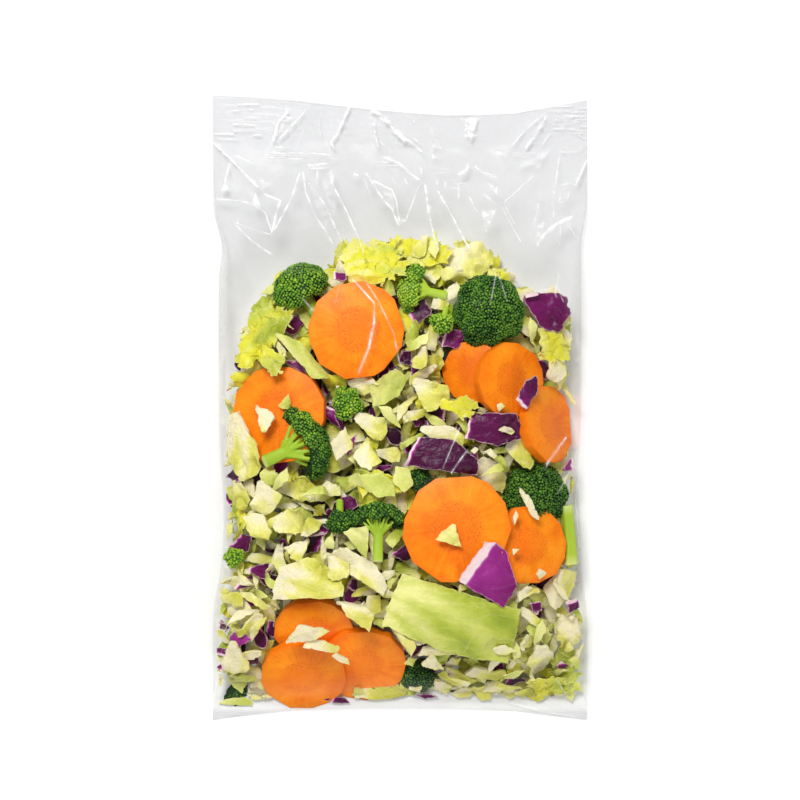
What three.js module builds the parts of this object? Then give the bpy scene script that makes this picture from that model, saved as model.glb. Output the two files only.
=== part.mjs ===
// A sealed clear film bag of cut stir-fry vegetables, lying flat on its back.
// Millimetres. +X is the bag's right, +Y points to its top seal and +Z is up. The origin is on
// the surface that the bag lies on, under the middle of its outline.
//
// The bag is one closed body: the film with everything in it. Each cross-section is a flat base,
// two round sides and an arched top. The larger vegetables push the arched top up, and the empty
// film above them lies nearly flat and is creased.
import * as THREE from "three";

// Driving dimensions of the bag
const BAG_WIDTH = 180;
const BAG_LENGTH = 300;
const SEAL_THICKNESS = 1.6;
const FILL_DEPTH = 36.5;
const HALF_WIDTH = BAG_WIDTH / 2;
const HALF_LENGTH = BAG_LENGTH / 2;

// Depth of the filling along the bag: [distance from the middle, share of FILL_DEPTH]
const FILLING = [
  [-150, 0],
  [-143, 0.03],
  [-137, 0.38],
  [-126, 0.74],
  [-108, 0.93],
  [-70, 1],
  [0, 0.99],
  [40, 0.95],
  [62, 0.84],
  [80, 0.58],
  [98, 0.29],
  [116, 0.11],
  [132, 0.02],
  [150, 0],
];

// The filled stretch draws the sides in, and two looser places pull in further.
const DRAW_IN = 3;
const DRAW_IN_FROM = [-104, -72];
const DRAW_IN_TO = [78, 97];
const PINCHES = [
  { side: -1, y: 76, reach: 9, depth: 1.6 },
  { side: -1, y: -52, reach: 26, depth: 2.5 },
  { side: 1, y: -34, reach: 20, depth: 1.7 },
];

// The two sealed edges bow towards the filling: [distance across, how far the edge moves]
const TOP_EDGE = [
  [-90, 0],
  [-68, -0.9],
  [28, -9.8],
  [66, -8.4],
  [90, -2],
];
const BOTTOM_EDGE = [
  [-90, 0],
  [-66, 4.4],
  [0, 6],
  [58, 4.6],
  [90, 0],
];
const EDGE_BOW_REACH = 44;

// Form of the cross-section
const SIDE_SHARE = 0.36; // height of the side fold against the depth there
const BASE_SHARE_EMPTY = 0.97; // half width of the flat base against the half width of the film
const BASE_SHARE_FULL = 0.68;
const ARCH_SHOULDER = 2.6;
const ARCH_CROWN = 1.8;
const RELIEF_FADE = 10; // lumps, creases and ribs fade out this sharply towards the side folds

// Vegetables that press against the upper film. A slice is flat-topped and a floret is domed.
const PRESSING = [
  { slice: true, x: -20.5, y: 36.5, rx: 22, ry: 22.5, turn: 0, rise: 3.2 },
  { slice: true, x: -57, y: -3, rx: 22, ry: 22, turn: 0, rise: 2.6 },
  { slice: true, x: 34, y: 17, rx: 12, ry: 14, turn: 10, rise: 2.4 },
  { slice: true, x: 52, y: 13, rx: 15, ry: 18, turn: 10, rise: 3.4 },
  { slice: true, x: 72, y: -8, rx: 12, ry: 18, turn: 14, rise: 3 },
  { slice: true, x: 26.5, y: -56, rx: 25, ry: 25, turn: 0, rise: 3.4 },
  { slice: true, x: 63, y: -65, rx: 14, ry: 18, turn: 0, rise: 2 },
  { slice: true, x: -41, y: -100, rx: 19, ry: 11, turn: -8, rise: 1.8 },
  { slice: true, x: -46.5, y: -126, rx: 20, ry: 15, turn: -10, rise: 3 },
  { slice: true, x: -12.5, y: -121, rx: 15, ry: 17, turn: 0, rise: 2.6 },
  { slice: true, x: 33, y: -101, rx: 33, ry: 15, turn: -20, rise: 2.4 },
  { slice: true, x: 46, y: -78, rx: 12, ry: 15, turn: 0, rise: 3 },
  { slice: true, x: -75, y: -19, rx: 9, ry: 14, turn: -20, rise: 3 },
  { slice: false, x: -47, y: 56, rx: 16, ry: 16, turn: 0, rise: 5 },
  { slice: false, x: 8, y: 57, rx: 12, ry: 9, turn: 0, rise: 3 },
  { slice: false, x: 42, y: 47, rx: 18, ry: 18, turn: 0, rise: 6 },
  { slice: false, x: 69, y: 47, rx: 12, ry: 10, turn: -20, rise: 3.5 },
  { slice: false, x: -42, y: -15, rx: 13, ry: 15, turn: 0, rise: 4.5 },
  { slice: false, x: 66, y: -38, rx: 16, ry: 16, turn: 0, rise: 4.5 },
  { slice: false, x: -10, y: -48, rx: 11, ry: 9, turn: 0, rise: 3.5 },
  { slice: false, x: -28, y: -56, rx: 8, ry: 8, turn: 0, rise: 2.5 },
  { slice: false, x: 9, y: -127, rx: 9, ry: 8, turn: 0, rise: 2.5 },
];
const SLICE_FLAT = 0.7; // share of a slice's radius that stays flat
const PRESSING_REACH = 1.25; // where the film is back to its own height

// Long creases in the empty film: [from x, from y, to x, to y]
const CREASES = [
  [-90, 127, -66, 103],
  [-82, 92, -57, 70],
  [-42, 145, -60, 127],
  [-49, 112, -60, 84],
  [-46, 112, -29, 76],
  [-25, 144, -33, 126],
  [-33, 108, -17, 74],
  [-14, 142, -10, 121],
  [-9, 140, 12, 121],
  [-14, 110, 1, 88],
  [10, 108, 2, 88],
  [13, 102, 18, 76],
  [20, 99, 34, 75],
  [30, 139, 34, 124],
  [33, 103, 41, 82],
  [70, 139, 51, 121],
  [60, 108, 47, 96],
  [49, 96, 59, 77],
  [80, 91, 64, 75],
  [89, 119, 76, 96],
];
const CREASE_HEIGHT = 1.5;
const CREASE_REACH = 4.5;

// Ribs that the sealing jaws press across the top seal
const RIBBED_BAND = 18;
const RIB_PITCH = 3.6;
const RIB_HEIGHT = 0.6;

// Fineness of the mesh
const TOP_COLUMNS = 40;
const EDGE_CROWDING = 0.4; // how far the columns crowd towards the round sides
const SIDE_STEPS = 4;
const BASE_COLUMNS = 5;
const BODY_STEP = 5.2;
const SEAL_STEP = 1.2;
const BOTTOM_SEAL = 7;

const { clamp, degToRad, lerp, smoothstep } = THREE.MathUtils;

// A smooth curve through stations [at, value] that never swings past them.
function readStations(stations, at) {
  const last = stations.length - 1;
  const held = clamp(at, stations[0][0], stations[last][0]);
  const slopes = stations.slice(1).map(([x, y], i) => {
    return (y - stations[i][1]) / (x - stations[i][0]);
  });
  const tangent = (i) => {
    const [before, after] = [slopes[Math.max(i - 1, 0)], slopes[Math.min(i, last - 1)]];
    return before * after <= 0 ? 0 : (2 * before * after) / (before + after);
  };
  let i = 0;
  while (i < last - 1 && held > stations[i + 1][0]) i += 1;
  const [[x0, y0], [x1, y1]] = [stations[i], stations[i + 1]];
  const span = x1 - x0;
  const t = (held - x0) / span;
  const rising = t * t * (3 - 2 * t);
  const leaving = t * (1 - t) * (1 - t);
  const arriving = t * t * (t - 1);
  return lerp(y0, y1, rising) + span * (leaving * tangent(i) + arriving * tangent(i + 1));
}

// Half width of the film on one side (-1 left, 1 right).
function halfWidth(side, y) {
  const filled = smoothstep(y, ...DRAW_IN_FROM) * (1 - smoothstep(y, ...DRAW_IN_TO));
  const pinched = PINCHES.filter((pinch) => pinch.side === side).reduce((sum, pinch) => {
    return sum + pinch.depth * Math.exp(-(((y - pinch.y) / pinch.reach) ** 2));
  }, 0);
  return HALF_WIDTH - DRAW_IN * filled - pinched;
}

// Where a point of the unbent outline lies once the sealed edges have bowed.
function bowedY(x, y) {
  const topShare = smoothstep(y, HALF_LENGTH - EDGE_BOW_REACH, HALF_LENGTH);
  const bottomShare = smoothstep(-y, HALF_LENGTH - EDGE_BOW_REACH, HALF_LENGTH);
  return y + readStations(TOP_EDGE, x) * topShare + readStations(BOTTOM_EDGE, x) * bottomShare;
}

// How far the vegetables under the film lift it at a point.
function pressedRise(x, y) {
  return PRESSING.reduce((highest, item) => {
    const turn = degToRad(item.turn);
    const along = (x - item.x) * Math.cos(turn) + (y - item.y) * Math.sin(turn);
    const across = (y - item.y) * Math.cos(turn) - (x - item.x) * Math.sin(turn);
    const reach = Math.hypot(along / item.rx, across / item.ry);
    const share = 1 - smoothstep(reach, item.slice ? SLICE_FLAT : 0, PRESSING_REACH);
    return Math.max(highest, item.rise * share);
  }, 0);
}

// Height of the sharp creases at a point of the empty film.
function creaseRise(x, y) {
  return CREASES.reduce((highest, [x0, y0, x1, y1]) => {
    const [dx, dy] = [x1 - x0, y1 - y0];
    const t = clamp(((x - x0) * dx + (y - y0) * dy) / (dx * dx + dy * dy), 0, 1);
    const away = Math.hypot(x - x0 - t * dx, y - y0 - t * dy);
    return Math.max(highest, CREASE_HEIGHT * Math.max(0, 1 - away / CREASE_REACH));
  }, 0);
}

// Height of the pressed ribs, counted down from the top edge.
function ribRise(y) {
  const below = HALF_LENGTH - y;
  if (below > RIBBED_BAND) return 0;
  return RIB_HEIGHT * Math.sin((Math.PI * below) / RIB_PITCH) ** 2;
}

// Height of the upper film. u runs from -1 at the left fold to 1 at the right one.
function upperFilm(u, x, y) {
  const depth = SEAL_THICKNESS + FILL_DEPTH * readStations(FILLING, y);
  const side = depth * SIDE_SHARE;
  const arch = (1 - Math.abs(u) ** ARCH_SHOULDER) ** (1 / ARCH_CROWN);
  const inside = 1 - Math.abs(u) ** RELIEF_FADE;
  const bent = bowedY(x, y);
  const relief = pressedRise(x, bent) + creaseRise(x, bent) + ribRise(y);
  return side + (depth - side) * arch + inside * relief;
}

// One cross-section as two chains from the left fold to the right one, which share their ends.
function crossSection(y) {
  const share = readStations(FILLING, y);
  const side = (SEAL_THICKNESS + FILL_DEPTH * share) * SIDE_SHARE;
  const baseShare = lerp(BASE_SHARE_EMPTY, BASE_SHARE_FULL, share);
  const across = (u) => u * halfWidth(Math.sign(u) || 1, y);
  const place = (u, z) => [across(u), bowedY(across(u), y), z];
  const upper = [];
  for (let column = 0; column <= TOP_COLUMNS; column += 1) {
    const even = (2 * column) / TOP_COLUMNS - 1;
    const u = lerp(even, Math.sin((even * Math.PI) / 2), EDGE_CROWDING);
    upper.push(place(u, upperFilm(u, across(u), y)));
  }
  const corner = [];
  for (let step = 1; step <= SIDE_STEPS; step += 1) {
    const angle = (step / SIDE_STEPS) * (Math.PI / 2);
    const u = lerp(baseShare, 1, Math.cos(angle));
    corner.push([u, side * (1 - Math.sin(angle))]);
  }
  const base = [];
  for (let column = 1; column < BASE_COLUMNS; column += 1) {
    base.push([baseShare * ((2 * column) / BASE_COLUMNS - 1), 0]);
  }
  const left = corner.map(([u, z]) => [-u, z]);
  const right = [...corner].reverse();
  const lower = [...left, ...base, ...right].map(([u, z]) => place(u, z));
  return { upper, lower: [upper[0], ...lower, upper[TOP_COLUMNS]] };
}

// Stations along the bag, closer together in the two seals.
function stationsAlong() {
  const runs = [
    [-HALF_LENGTH, -HALF_LENGTH + BOTTOM_SEAL, SEAL_STEP * 2],
    [-HALF_LENGTH + BOTTOM_SEAL, HALF_LENGTH - RIBBED_BAND, BODY_STEP],
    [HALF_LENGTH - RIBBED_BAND, HALF_LENGTH, SEAL_STEP],
  ];
  const stations = [-HALF_LENGTH];
  for (const [from, to, step] of runs) {
    const count = Math.round((to - from) / step);
    for (let i = 1; i <= count; i += 1) stations.push(lerp(from, to, i / count));
  }
  return stations;
}

// Joins the sections into one closed surface with its faces pointing out.
function bagGeometry() {
  const sections = stationsAlong().map(crossSection);
  const positions = [];
  const triangles = [];
  const rings = sections.map(({ upper, lower }) => {
    const first = positions.length / 3;
    const ring = [...upper, ...lower.slice(1, -1).reverse()];
    positions.push(...ring.flat());
    const index = (i) => first + (i % ring.length);
    const upperIndex = upper.map((_, i) => index(i));
    const lowerIndex = lower.map((_, i) => index(ring.length - i));
    lowerIndex[lower.length - 1] = index(upper.length - 1);
    return { size: ring.length, index, upperIndex, lowerIndex };
  });
  for (let row = 1; row < rings.length; row += 1) {
    const [near, far] = [rings[row - 1], rings[row]];
    for (let i = 0; i < near.size; i += 1) {
      const [a, b, c, d] = [near.index(i), near.index(i + 1), far.index(i + 1), far.index(i)];
      triangles.push(a, b, c, a, c, d);
    }
  }
  triangles.push(...endStrip(rings[0], positions, false));
  triangles.push(...endStrip(rings[rings.length - 1], positions, true));
  const geometry = new THREE.BufferGeometry();
  geometry.setAttribute("position", new THREE.Float32BufferAttribute(positions, 3));
  geometry.setIndex(triangles);
  geometry.computeVertexNormals();
  return geometry;
}

// The narrow face between the two films at a sealed edge, zipped up from left to right.
function endStrip({ upperIndex, lowerIndex }, positions, facesTop) {
  const across = (index) => positions[3 * index];
  const triangles = [];
  let [i, j] = [0, 0];
  while (i < upperIndex.length - 1 || j < lowerIndex.length - 1) {
    const [high, low] = [upperIndex[i], lowerIndex[j]];
    const [nextHigh, nextLow] = [upperIndex[i + 1], lowerIndex[j + 1]];
    const moveUpper = nextLow === undefined || across(nextHigh) < across(nextLow);
    const next = moveUpper ? nextHigh : nextLow;
    if (moveUpper) i += 1;
    else j += 1;
    if (new Set([low, next, high]).size < 3) continue;
    triangles.push(...(facesTop ? [high, next, low] : [low, next, high]));
  }
  return triangles;
}

const film = new THREE.MeshStandardMaterial({
  color: 0xe2e4e3,
  roughness: 0.12,
  metalness: 0,
  transparent: true,
  opacity: 0.4,
});

const bag = new THREE.Mesh(bagGeometry(), film);
bag.name = "vegetable_bag";

const group = new THREE.Group();
group.add(bag);

export default group;
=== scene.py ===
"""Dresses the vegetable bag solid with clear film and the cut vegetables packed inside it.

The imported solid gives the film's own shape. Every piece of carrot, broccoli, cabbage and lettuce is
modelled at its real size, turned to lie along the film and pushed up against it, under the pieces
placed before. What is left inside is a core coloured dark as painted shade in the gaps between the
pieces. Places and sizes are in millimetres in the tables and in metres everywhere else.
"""

import functools
import math
import random

import bpy
import numpy as np
from mathutils import Matrix, Vector
from mathutils.bvhtree import BVHTree


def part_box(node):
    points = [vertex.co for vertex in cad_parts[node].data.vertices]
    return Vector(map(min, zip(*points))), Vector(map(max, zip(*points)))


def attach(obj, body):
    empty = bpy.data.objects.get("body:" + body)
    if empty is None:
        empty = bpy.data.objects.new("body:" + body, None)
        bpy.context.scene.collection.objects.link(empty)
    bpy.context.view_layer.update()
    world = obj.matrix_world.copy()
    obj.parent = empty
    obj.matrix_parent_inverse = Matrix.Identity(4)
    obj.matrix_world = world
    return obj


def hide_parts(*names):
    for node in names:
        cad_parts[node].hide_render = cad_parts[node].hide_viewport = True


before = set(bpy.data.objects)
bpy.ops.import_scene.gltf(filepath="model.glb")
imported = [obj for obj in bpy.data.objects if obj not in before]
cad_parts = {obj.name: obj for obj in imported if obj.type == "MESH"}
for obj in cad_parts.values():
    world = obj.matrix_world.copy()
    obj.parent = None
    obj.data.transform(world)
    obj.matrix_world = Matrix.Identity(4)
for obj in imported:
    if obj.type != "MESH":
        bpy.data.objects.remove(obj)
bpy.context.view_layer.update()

bl_info = {
    "name": "Stir-fry vegetable bag",
    "version": (1, 0, 0),
    "blender": (4, 5, 0),
    "location": "3D View > Sidebar > Vegetable bag",
    "description": "Clear film and cut vegetables for a sealed bag lying on its back",
    "category": "Mesh",
}

BAG_NODE = "vegetable_bag"
MM = 0.001
UP = Vector((0, 0, 1))
BAG_LOW, BAG_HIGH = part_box(BAG_NODE)

# ---------------------------------------------------------------------------------------------
# Where the pieces lie. Each list runs from the pieces nearest the film to the deepest.
# ---------------------------------------------------------------------------------------------

# Carrot slices: layer, x, y, radius, lean in degrees, direction the slice leans down towards
CARROT_SLICES = [
    (3, -20.5, 36.5, 22.8, 0, 0),
    (3, 26.5, -56, 25.3, 0, 0),
    (3, 75.5, -8, 18.6, 50, 10),
    (4, 51, 13, 18.2, 33, 0),
    (4, -46, -126.5, 20.6, 35, 268),
    (5, 35, 17, 15, 20, 180),
    (5, 60, -64.5, 18.5, 16, 0),
    (5, -18, -121.5, 20.6, 31, 275),
    (6, -57, -3, 23.2, 17, 180),
    (7, -40.5, -105.8, 18.8, 30, 270),
]

# Broccoli florets: layer, x, y, crown radius, azimuth and elevation of the crown, stalk, tone
FLORETS = [
    (3, -43, -15, 14.5, 27, -14, 10, 0.42),
    (4, -9.5, -50, 9.8, 86, -14, 13, 0.42),
    (4, -50.5, 63.5, 13.4, 118, 12, 17, 0.55),
    (5, 42, 47, 17, 90, 82, 12, 0.32),
    (5, 66, -38, 15.5, 60, 65, 12, 0.25),
    (5, -23, 4, 8, 40, 60, 6, 0.75),
    (5, -80, -70, 5, 90, 70, 5, 0.9),
    (6, -28, -56, 7.5, 270, 30, 9, 0.3),
    (6, -80, -135, 6.5, 120, 50, 6, 0.1),
    (7, 5, 57, 9.8, 165, 3, 8, 0.85),
    (7, 19, 38, 6, 250, 45, 9, 0.75),
    (7, 9, -33, 6, 90, 70, 5, 0.1),
    (7, 50, -12, 6, 90, 60, 5, 0.15),
    (8, 9, -127, 8.5, 90, 75, 7, 0.15),
]

# Loose cut stalks: layer, x, y, length, radius, direction
CUT_STALKS = [
    (5, 84, -60, 28, 3.4, 95),
    (7, 22, 46, 20, 3, 80),
]

# Sheets: kind, layer, x, y, length, width, turn in degrees, cut, tone
SHEETS = [
    ("leaf", 1, 24.5, -60, 12, 11, -35, "triangle", 0.8),
    ("cabbage", 1, 47, 1, 4, 5, 20, "triangle", 0.8),
    ("cabbage", 1, 54, -51, 7, 2.6, 80, "needle", 0.8),
    ("cabbage", 1, 66, -78, 6, 7, 0, "kite", 0.95),
    ("cabbage", 1, 50, -10.5, 8, 3.6, -10, "needle", 0.98),
    ("cabbage", 1, 35, -19.5, 4, 3.4, 0, "kite", 0.98),
    ("cabbage", 1, 42, -21, 8, 4, -20, "needle", 0.95),
    ("cabbage", 1, 54, -66.5, 4, 3, 30, "triangle", 0.98),
    ("lettuce", 2, 28, 1, 21, 11, -12, "fan", 0.6),
    ("cabbage", 2, 60.5, -45, 17, 5, -58, "needle", 0.9),
    ("red_cabbage", 2, 60, 7, 19, 9, 72, "slab", 0.4),
    ("red_cabbage", 2, 41.5, -78.5, 28.5, 31.7, 0, "sail", 0.8),
    ("leaf", 2, -20.5, -137, 9, 7, 80, "fan", 0.85),
    ("cabbage", 2, 48, -113, 13, 6, 8, "shard", 0.85),
    ("cabbage", 3, 14, 7, 19, 15, -35, "fan", 0.8),
    ("cabbage", 3, -67, -59, 20, 17, -70, "wedge", 0.75),
    ("cabbage", 3, -30, -74, 14, 13, -40, "fan", 0.85),
    ("leaf", 3, -14, -35, 25, 13, -8, "fan", 0.75),
    ("cabbage", 3, -43, -105, 24, 9, 12, "shard", 0.97),
    ("cabbage", 3, -36, -112, 20, 7, -15, "wedge", 0.95),
    ("cabbage", 3, -27.5, -118, 10, 3, -25, "slab", 0.95),
    ("leaf", 3, 26, -100, 65, 29, -18, "board", 0.6),
    ("red_cabbage", 3, 43.5, -10, 30, 17, 3, "slab", 0.35),
    ("red_cabbage", 3, 82, -94, 9, 9, -30, "kite", 0.35),
    ("leaf", 4, -47, 25.5, 36, 10, -40, "needle", 0.6),
    ("cabbage", 4, -17, 11, 16, 10, -10, "kite", 0.95),
    ("leaf", 4, -52, 2, 9, 8, -40, "triangle", 0.45),
    ("cabbage", 4, -64.5, -5, 15, 11, -75, "wedge", 1.05),
    ("cabbage", 4, -63.5, -41, 18, 16, -70, "fan", 1.1),
    ("cabbage", 4, -18, -76, 34, 15, -38, "wedge", 0.98),
    ("cabbage", 4, -43, -82, 34, 24, 0, "wedge", 0.72),
    ("leaf", 4, -18, -63, 17, 12, -65, "triangle", 0.85),
    ("cabbage", 4, -27, -16, 19, 11, 75, "kite", 0.95),
    ("leaf", 4, 1, -33, 10, 12, 0, "slab", 0.8),
    ("cabbage", 4, 57, -20, 16, 13, -30, "fan", 0.6),
    ("cabbage", 4, -21, -94, 24, 10, -42, "slab", 0.72),
    ("cabbage", 4, 67, -118, 18, 15, -80, "fan", 0.97),
    ("cabbage", 4, 17, -121, 14, 8, -35, "triangle", 0.85),
    ("red_cabbage", 4, -24, -18, 14, 5, 60, "shard", 0.7),
    ("red_cabbage", 4, 64, -93, 8, 7, -50, "kite", 0.35),
    ("leaf", 5, -6, 9, 22, 12, 40, "slab", 0.7),
    ("cabbage", 5, -27, 2, 20, 6, -58, "wedge", 0.9),
    ("cabbage", 5, -75, -18, 33, 18, -68, "fan", 1.0),
    ("cabbage", 5, -51, -53, 18, 13, 20, "fan", 0.7),
    ("cabbage", 5, -47, -68, 15, 13, -60, "triangle", 0.7),
    ("cabbage", 5, -13, -7, 18, 12, -30, "fan", 0.7),
    ("cabbage", 5, -13, -21, 16, 14, 60, "slab", 0.75),
    ("cabbage", 5, 20, -12, 21, 11, -18, "fan", 0.75),
    ("leaf", 5, 49, -20, 14, 4, 8, "slab", 0.5),
    ("cabbage", 5, 60, -10, 13, 4, 85, "slab", 0.75),
    ("cabbage", 5, 59, -87, 13, 7, 20, "wedge", 0.9),
    ("cabbage", 5, -78, -120, 20, 17, -80, "fan", 0.97),
    ("cabbage", 5, 79, -106, 20, 14, -80, "slab", 0.93),
    ("leaf", 5, 84, -121, 9, 8, -60, "triangle", 0.6),
    ("cabbage", 5, 59, -136, 10, 6, 0, "fan", 0.3),
    ("cabbage", 5, 20, -133, 11, 10, -40, "fan", 0.96),
    ("leaf", 5, 6, -120, 7, 5, 0, "slab", 0.7),
    ("cabbage", 5, 3, -109, 15, 8, -55, "wedge", 0.7),
    ("red_cabbage", 4, 19.5, -23, 36, 19, -14, "wedge", 0.2),
    ("cabbage", 6, 25, 54, 17, 8, 75, "kite", 0.85),
    ("cabbage", 6, 19, 49, 10, 6, 10, "slab", 0.85),
    ("leaf", 6, -61, -13, 18, 14, 30, "fan", 0.3),
    ("leaf", 6, -60, -34, 14, 10, -50, "slab", 0.7),
    ("cabbage", 6, -49, -39, 18, 13, 0, "fan", 0.6),
    ("cabbage", 6, -33, -38, 11, 8, -20, "slab", 0.98),
    ("leaf", 6, 6, -15, 15, 5, 32, "wedge", 0.55),
    ("cabbage", 6, 42, -31, 24, 15, -40, "wedge", 0.9),
    ("cabbage", 6, 33, -31, 14, 9, 30, "fan", 1.0),
    ("cabbage", 6, 82, -73, 9, 6, 0, "slab", 0.8),
    ("cabbage", 6, 77, -84, 22, 17, 60, "slab", 0.92),
    ("cabbage", 6, -57.5, -71, 17, 8, -70, "slab", 0.95),
    ("cabbage", 6, -75, -98, 24, 19, -60, "fan", 0.9),
    ("leaf", 6, -75, -130, 15, 8, 15, "wedge", 0.8),
    ("leaf", 6, -79, -141, 16, 7, 5, "fan", 0.75),
    ("cabbage", 6, -66, -137, 15, 13, -60, "slab", 0.93),
    ("cabbage", 6, -13, -93, 9, 10, 0, "slab", 0.7),
    ("lettuce", 5, 72, -133, 24, 17, 20, "board", 0.6),
    ("cabbage", 6, 42, -127, 22, 9, -12, "slab", 0.7),
    ("cabbage", 6, 48, -134, 20, 8, 15, "wedge", 0.72),
    ("cabbage", 6, 34, -136, 20, 9, -5, "fan", 0.7),
    ("cabbage", 6, 8, -135, 10, 7, 60, "triangle", 0.95),
    ("leaf", 6, -3, -138, 14, 7, 10, "fan", 0.65),
    ("red_cabbage", 5, 69, 48, 25, 19, -30, "fan", 0.5),
    ("lettuce", 5, -10, -35, 30, 15, 172, "fan", 0.55),
    ("red_cabbage", 6, 8, 17, 12, 8, -70, "slab", 0.5),
    ("red_cabbage", 6, -32, -3, 15, 7, -62, "shard", 0.6),
    ("red_cabbage", 6, -26, -45, 14, 9, 15, "fan", 0.4),
    ("red_cabbage", 6, -77, -109, 16, 9, -15, "kite", 0.95),
    ("red_cabbage", 6, 12, -138, 15, 5, 8, "shard", 0.4),
    ("red_cabbage", 6, -28, 62, 8, 5, 0, "slab", 0.6),
    ("lettuce", 5, -10, 68, 32, 24, 20, "board", 0.72),
    ("cabbage", 7, 16, 64, 10, 12, 80, "slab", 0.6),
    ("cabbage", 7, 13, 21, 16, 11, -20, "fan", 0.55),
    ("cabbage", 7, 61, 41, 17, 7, 75, "wedge", 0.45),
    ("lettuce", 5, 73, 29, 18, 17, 0, "board", 0.72),
    ("cabbage", 7, -75, -41, 16, 10, -60, "slab", 0.55),
    ("cabbage", 7, -79, -75, 11, 9, 0, "fan", 0.98),
    ("red_cabbage", 7, -71, -92, 8, 6, 0, "slab", 0.5),
    ("red_cabbage", 7, 23, -128, 7, 6, 60, "kite", 0.5),
    ("lettuce", 5, -66, 37, 40, 24, 58, "fan", 0.42),
    ("cabbage", 8, 31, 70, 26, 20, -12, "fan", 0.9),
    ("lettuce", 6, 14, 72, 24, 18, 40, "fan", 0.9),
    ("cabbage", 8, 17, 38, 22, 8, 70, "wedge", 0.5),
    ("leaf", 8, 6, 34, 16, 9, 75, "kite", 0.35),
    ("red_cabbage", 8, 9, 45, 13, 11, 70, "kite", 0.2),
    ("red_cabbage", 8, 26, 33, 15, 10, 20, "kite", 0.6),
    ("red_cabbage", 8, 3, 24, 9, 8, 0, "slab", 0.15),
    ("red_cabbage", 8, 9, -6, 10, 7, -30, "kite", 0.6),
    ("red_cabbage", 8, -66, -77, 12, 8, 0, "fan", 0.4),
    ("red_cabbage", 8, -74, -83, 12, 6, 10, "shard", 0.3),
    ("red_cabbage", 8, -86, -116, 5, 7, 90, "slab", 0.5),
    ("red_cabbage", 8, -28, -140, 10, 4, 0, "slab", 0.3),
    ("lettuce", 4, -62, 24, 24, 12, -38, "fan", 0.5),
    ("cabbage", 9, -22, 71, 22, 20, 40, "fan", 0.85),
    ("cabbage", 9, 74, 17, 15, 12, 80, "slab", 0.95),
    ("red_cabbage", 9, 2, -68, 12, 10, 0, "fan", 0.1),
    ("red_cabbage", 9, -61, -83, 16, 10, -20, "fan", 0.1),
    ("red_cabbage", 9, -61, -105, 6, 8, 0, "slab", 0.2),
    ("red_cabbage", 9, -22, -83, 5, 6, 0, "slab", 0.2),
]

# Corners of each cut, anticlockwise, as shares of half the length and half the width. The edge from
# the last corner to the first is its base, where the leaf is palest and thickest.
CUTS = {
    "slab": [(-1, -0.45), (0.15, -1), (0.95, -0.5), (0.75, 0.8), (-0.6, 1)],
    "wedge": [(-1, -0.75), (1, -0.4), (0.85, 0.35), (0.1, 0.95), (-0.8, 0.7)],
    "triangle": [(-1, -1), (1, -0.2), (-0.6, 1)],
    "kite": [(-1, -0.1), (0.1, -1), (1, 0.1), (-0.1, 1)],
    "fan": [(-1, -0.25), (0.3, -1), (0.9, -0.65), (1, 0.25), (0.45, 1), (-0.9, 0.3)],
    "shard": [(-1, -0.5), (0.2, -1), (1, -0.3), (-0.1, 0.9)],
    "sail": [(-1, -0.1), (0.53, -1), (1, -0.21), (0.58, 0.67), (0.29, 1), (-0.01, 0.97)],
    "board": [(-1, -0.88), (0.1, -1), (1, -0.9), (0.97, 1), (-0.9, 1)],
    "needle": [(-1, -0.2), (0.6, -1), (1, 0.2), (-0.2, 1)],
}

# How each kind of sheet is modelled: cell, waves, wave length, frill, curl in degrees, softness,
# how ragged its outline is, and how far it leans away from the film in degrees
SHEET_FORMS = {
    "cabbage": (1.2, 0.75, 11, 0.3, 80, 0, 0.07, 17),
    "leaf": (1.2, 0.75, 10, 0.35, 55, 0.3, 0.08, 12),
    "lettuce": (1.05, 1.5, 12, 1.3, 34, 0.45, 0.26, 8),
    "red_cabbage": (1.2, 0.7, 10, 0.3, 65, 0, 0.07, 15),
}

# ---------------------------------------------------------------------------------------------
# Small modelling helpers
# ---------------------------------------------------------------------------------------------


def deselect_all():
    if bpy.context.object and bpy.context.object.mode != "OBJECT":
        bpy.ops.object.mode_set(mode="OBJECT")
    bpy.ops.object.select_all(action="DESELECT")


def make_active(piece):
    deselect_all()
    piece.select_set(True)
    bpy.context.view_layer.objects.active = piece


def edit_all(piece):
    make_active(piece)
    bpy.ops.object.mode_set(mode="EDIT")
    bpy.ops.mesh.select_all(action="SELECT")


def end_edit():
    bpy.ops.object.mode_set(mode="OBJECT")


def apply_modifier(piece, kind, **values):
    make_active(piece)
    modifier = piece.modifiers.new(kind.title(), kind)
    for name, value in values.items():
        setattr(modifier, name, value)
    bpy.ops.object.modifier_apply(modifier=modifier.name)


def take_mesh(piece):
    """Keeps the piece's mesh and removes its object, so that the scene stays small."""
    mesh = piece.data
    bpy.data.objects.remove(piece)
    return mesh


def show_mesh(mesh, name):
    piece = bpy.data.objects.new(name, mesh)
    bpy.context.scene.collection.objects.link(piece)
    return piece


def join_meshes(meshes, name):
    """Joins the meshes, each of which is used once, in one new object."""
    deselect_all()
    pieces = [show_mesh(mesh, name) for mesh in meshes]
    for piece in pieces:
        piece.select_set(True)
    bpy.context.view_layer.objects.active = pieces[0]
    if len(pieces) > 1:
        bpy.ops.object.join()
    return bpy.context.view_layer.objects.active


def points_of(mesh):
    points = np.zeros(len(mesh.vertices) * 3)
    mesh.vertices.foreach_get("co", points)
    return points.reshape(-1, 3)


def set_points(mesh, points):
    mesh.vertices.foreach_set("co", np.asarray(points).ravel())
    mesh.update()


def triangles_of(mesh):
    mesh.calc_loop_triangles()
    corners = np.zeros(len(mesh.loop_triangles) * 3, int)
    mesh.loop_triangles.foreach_get("vertices", corners)
    return corners.reshape(-1, 3)


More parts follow.
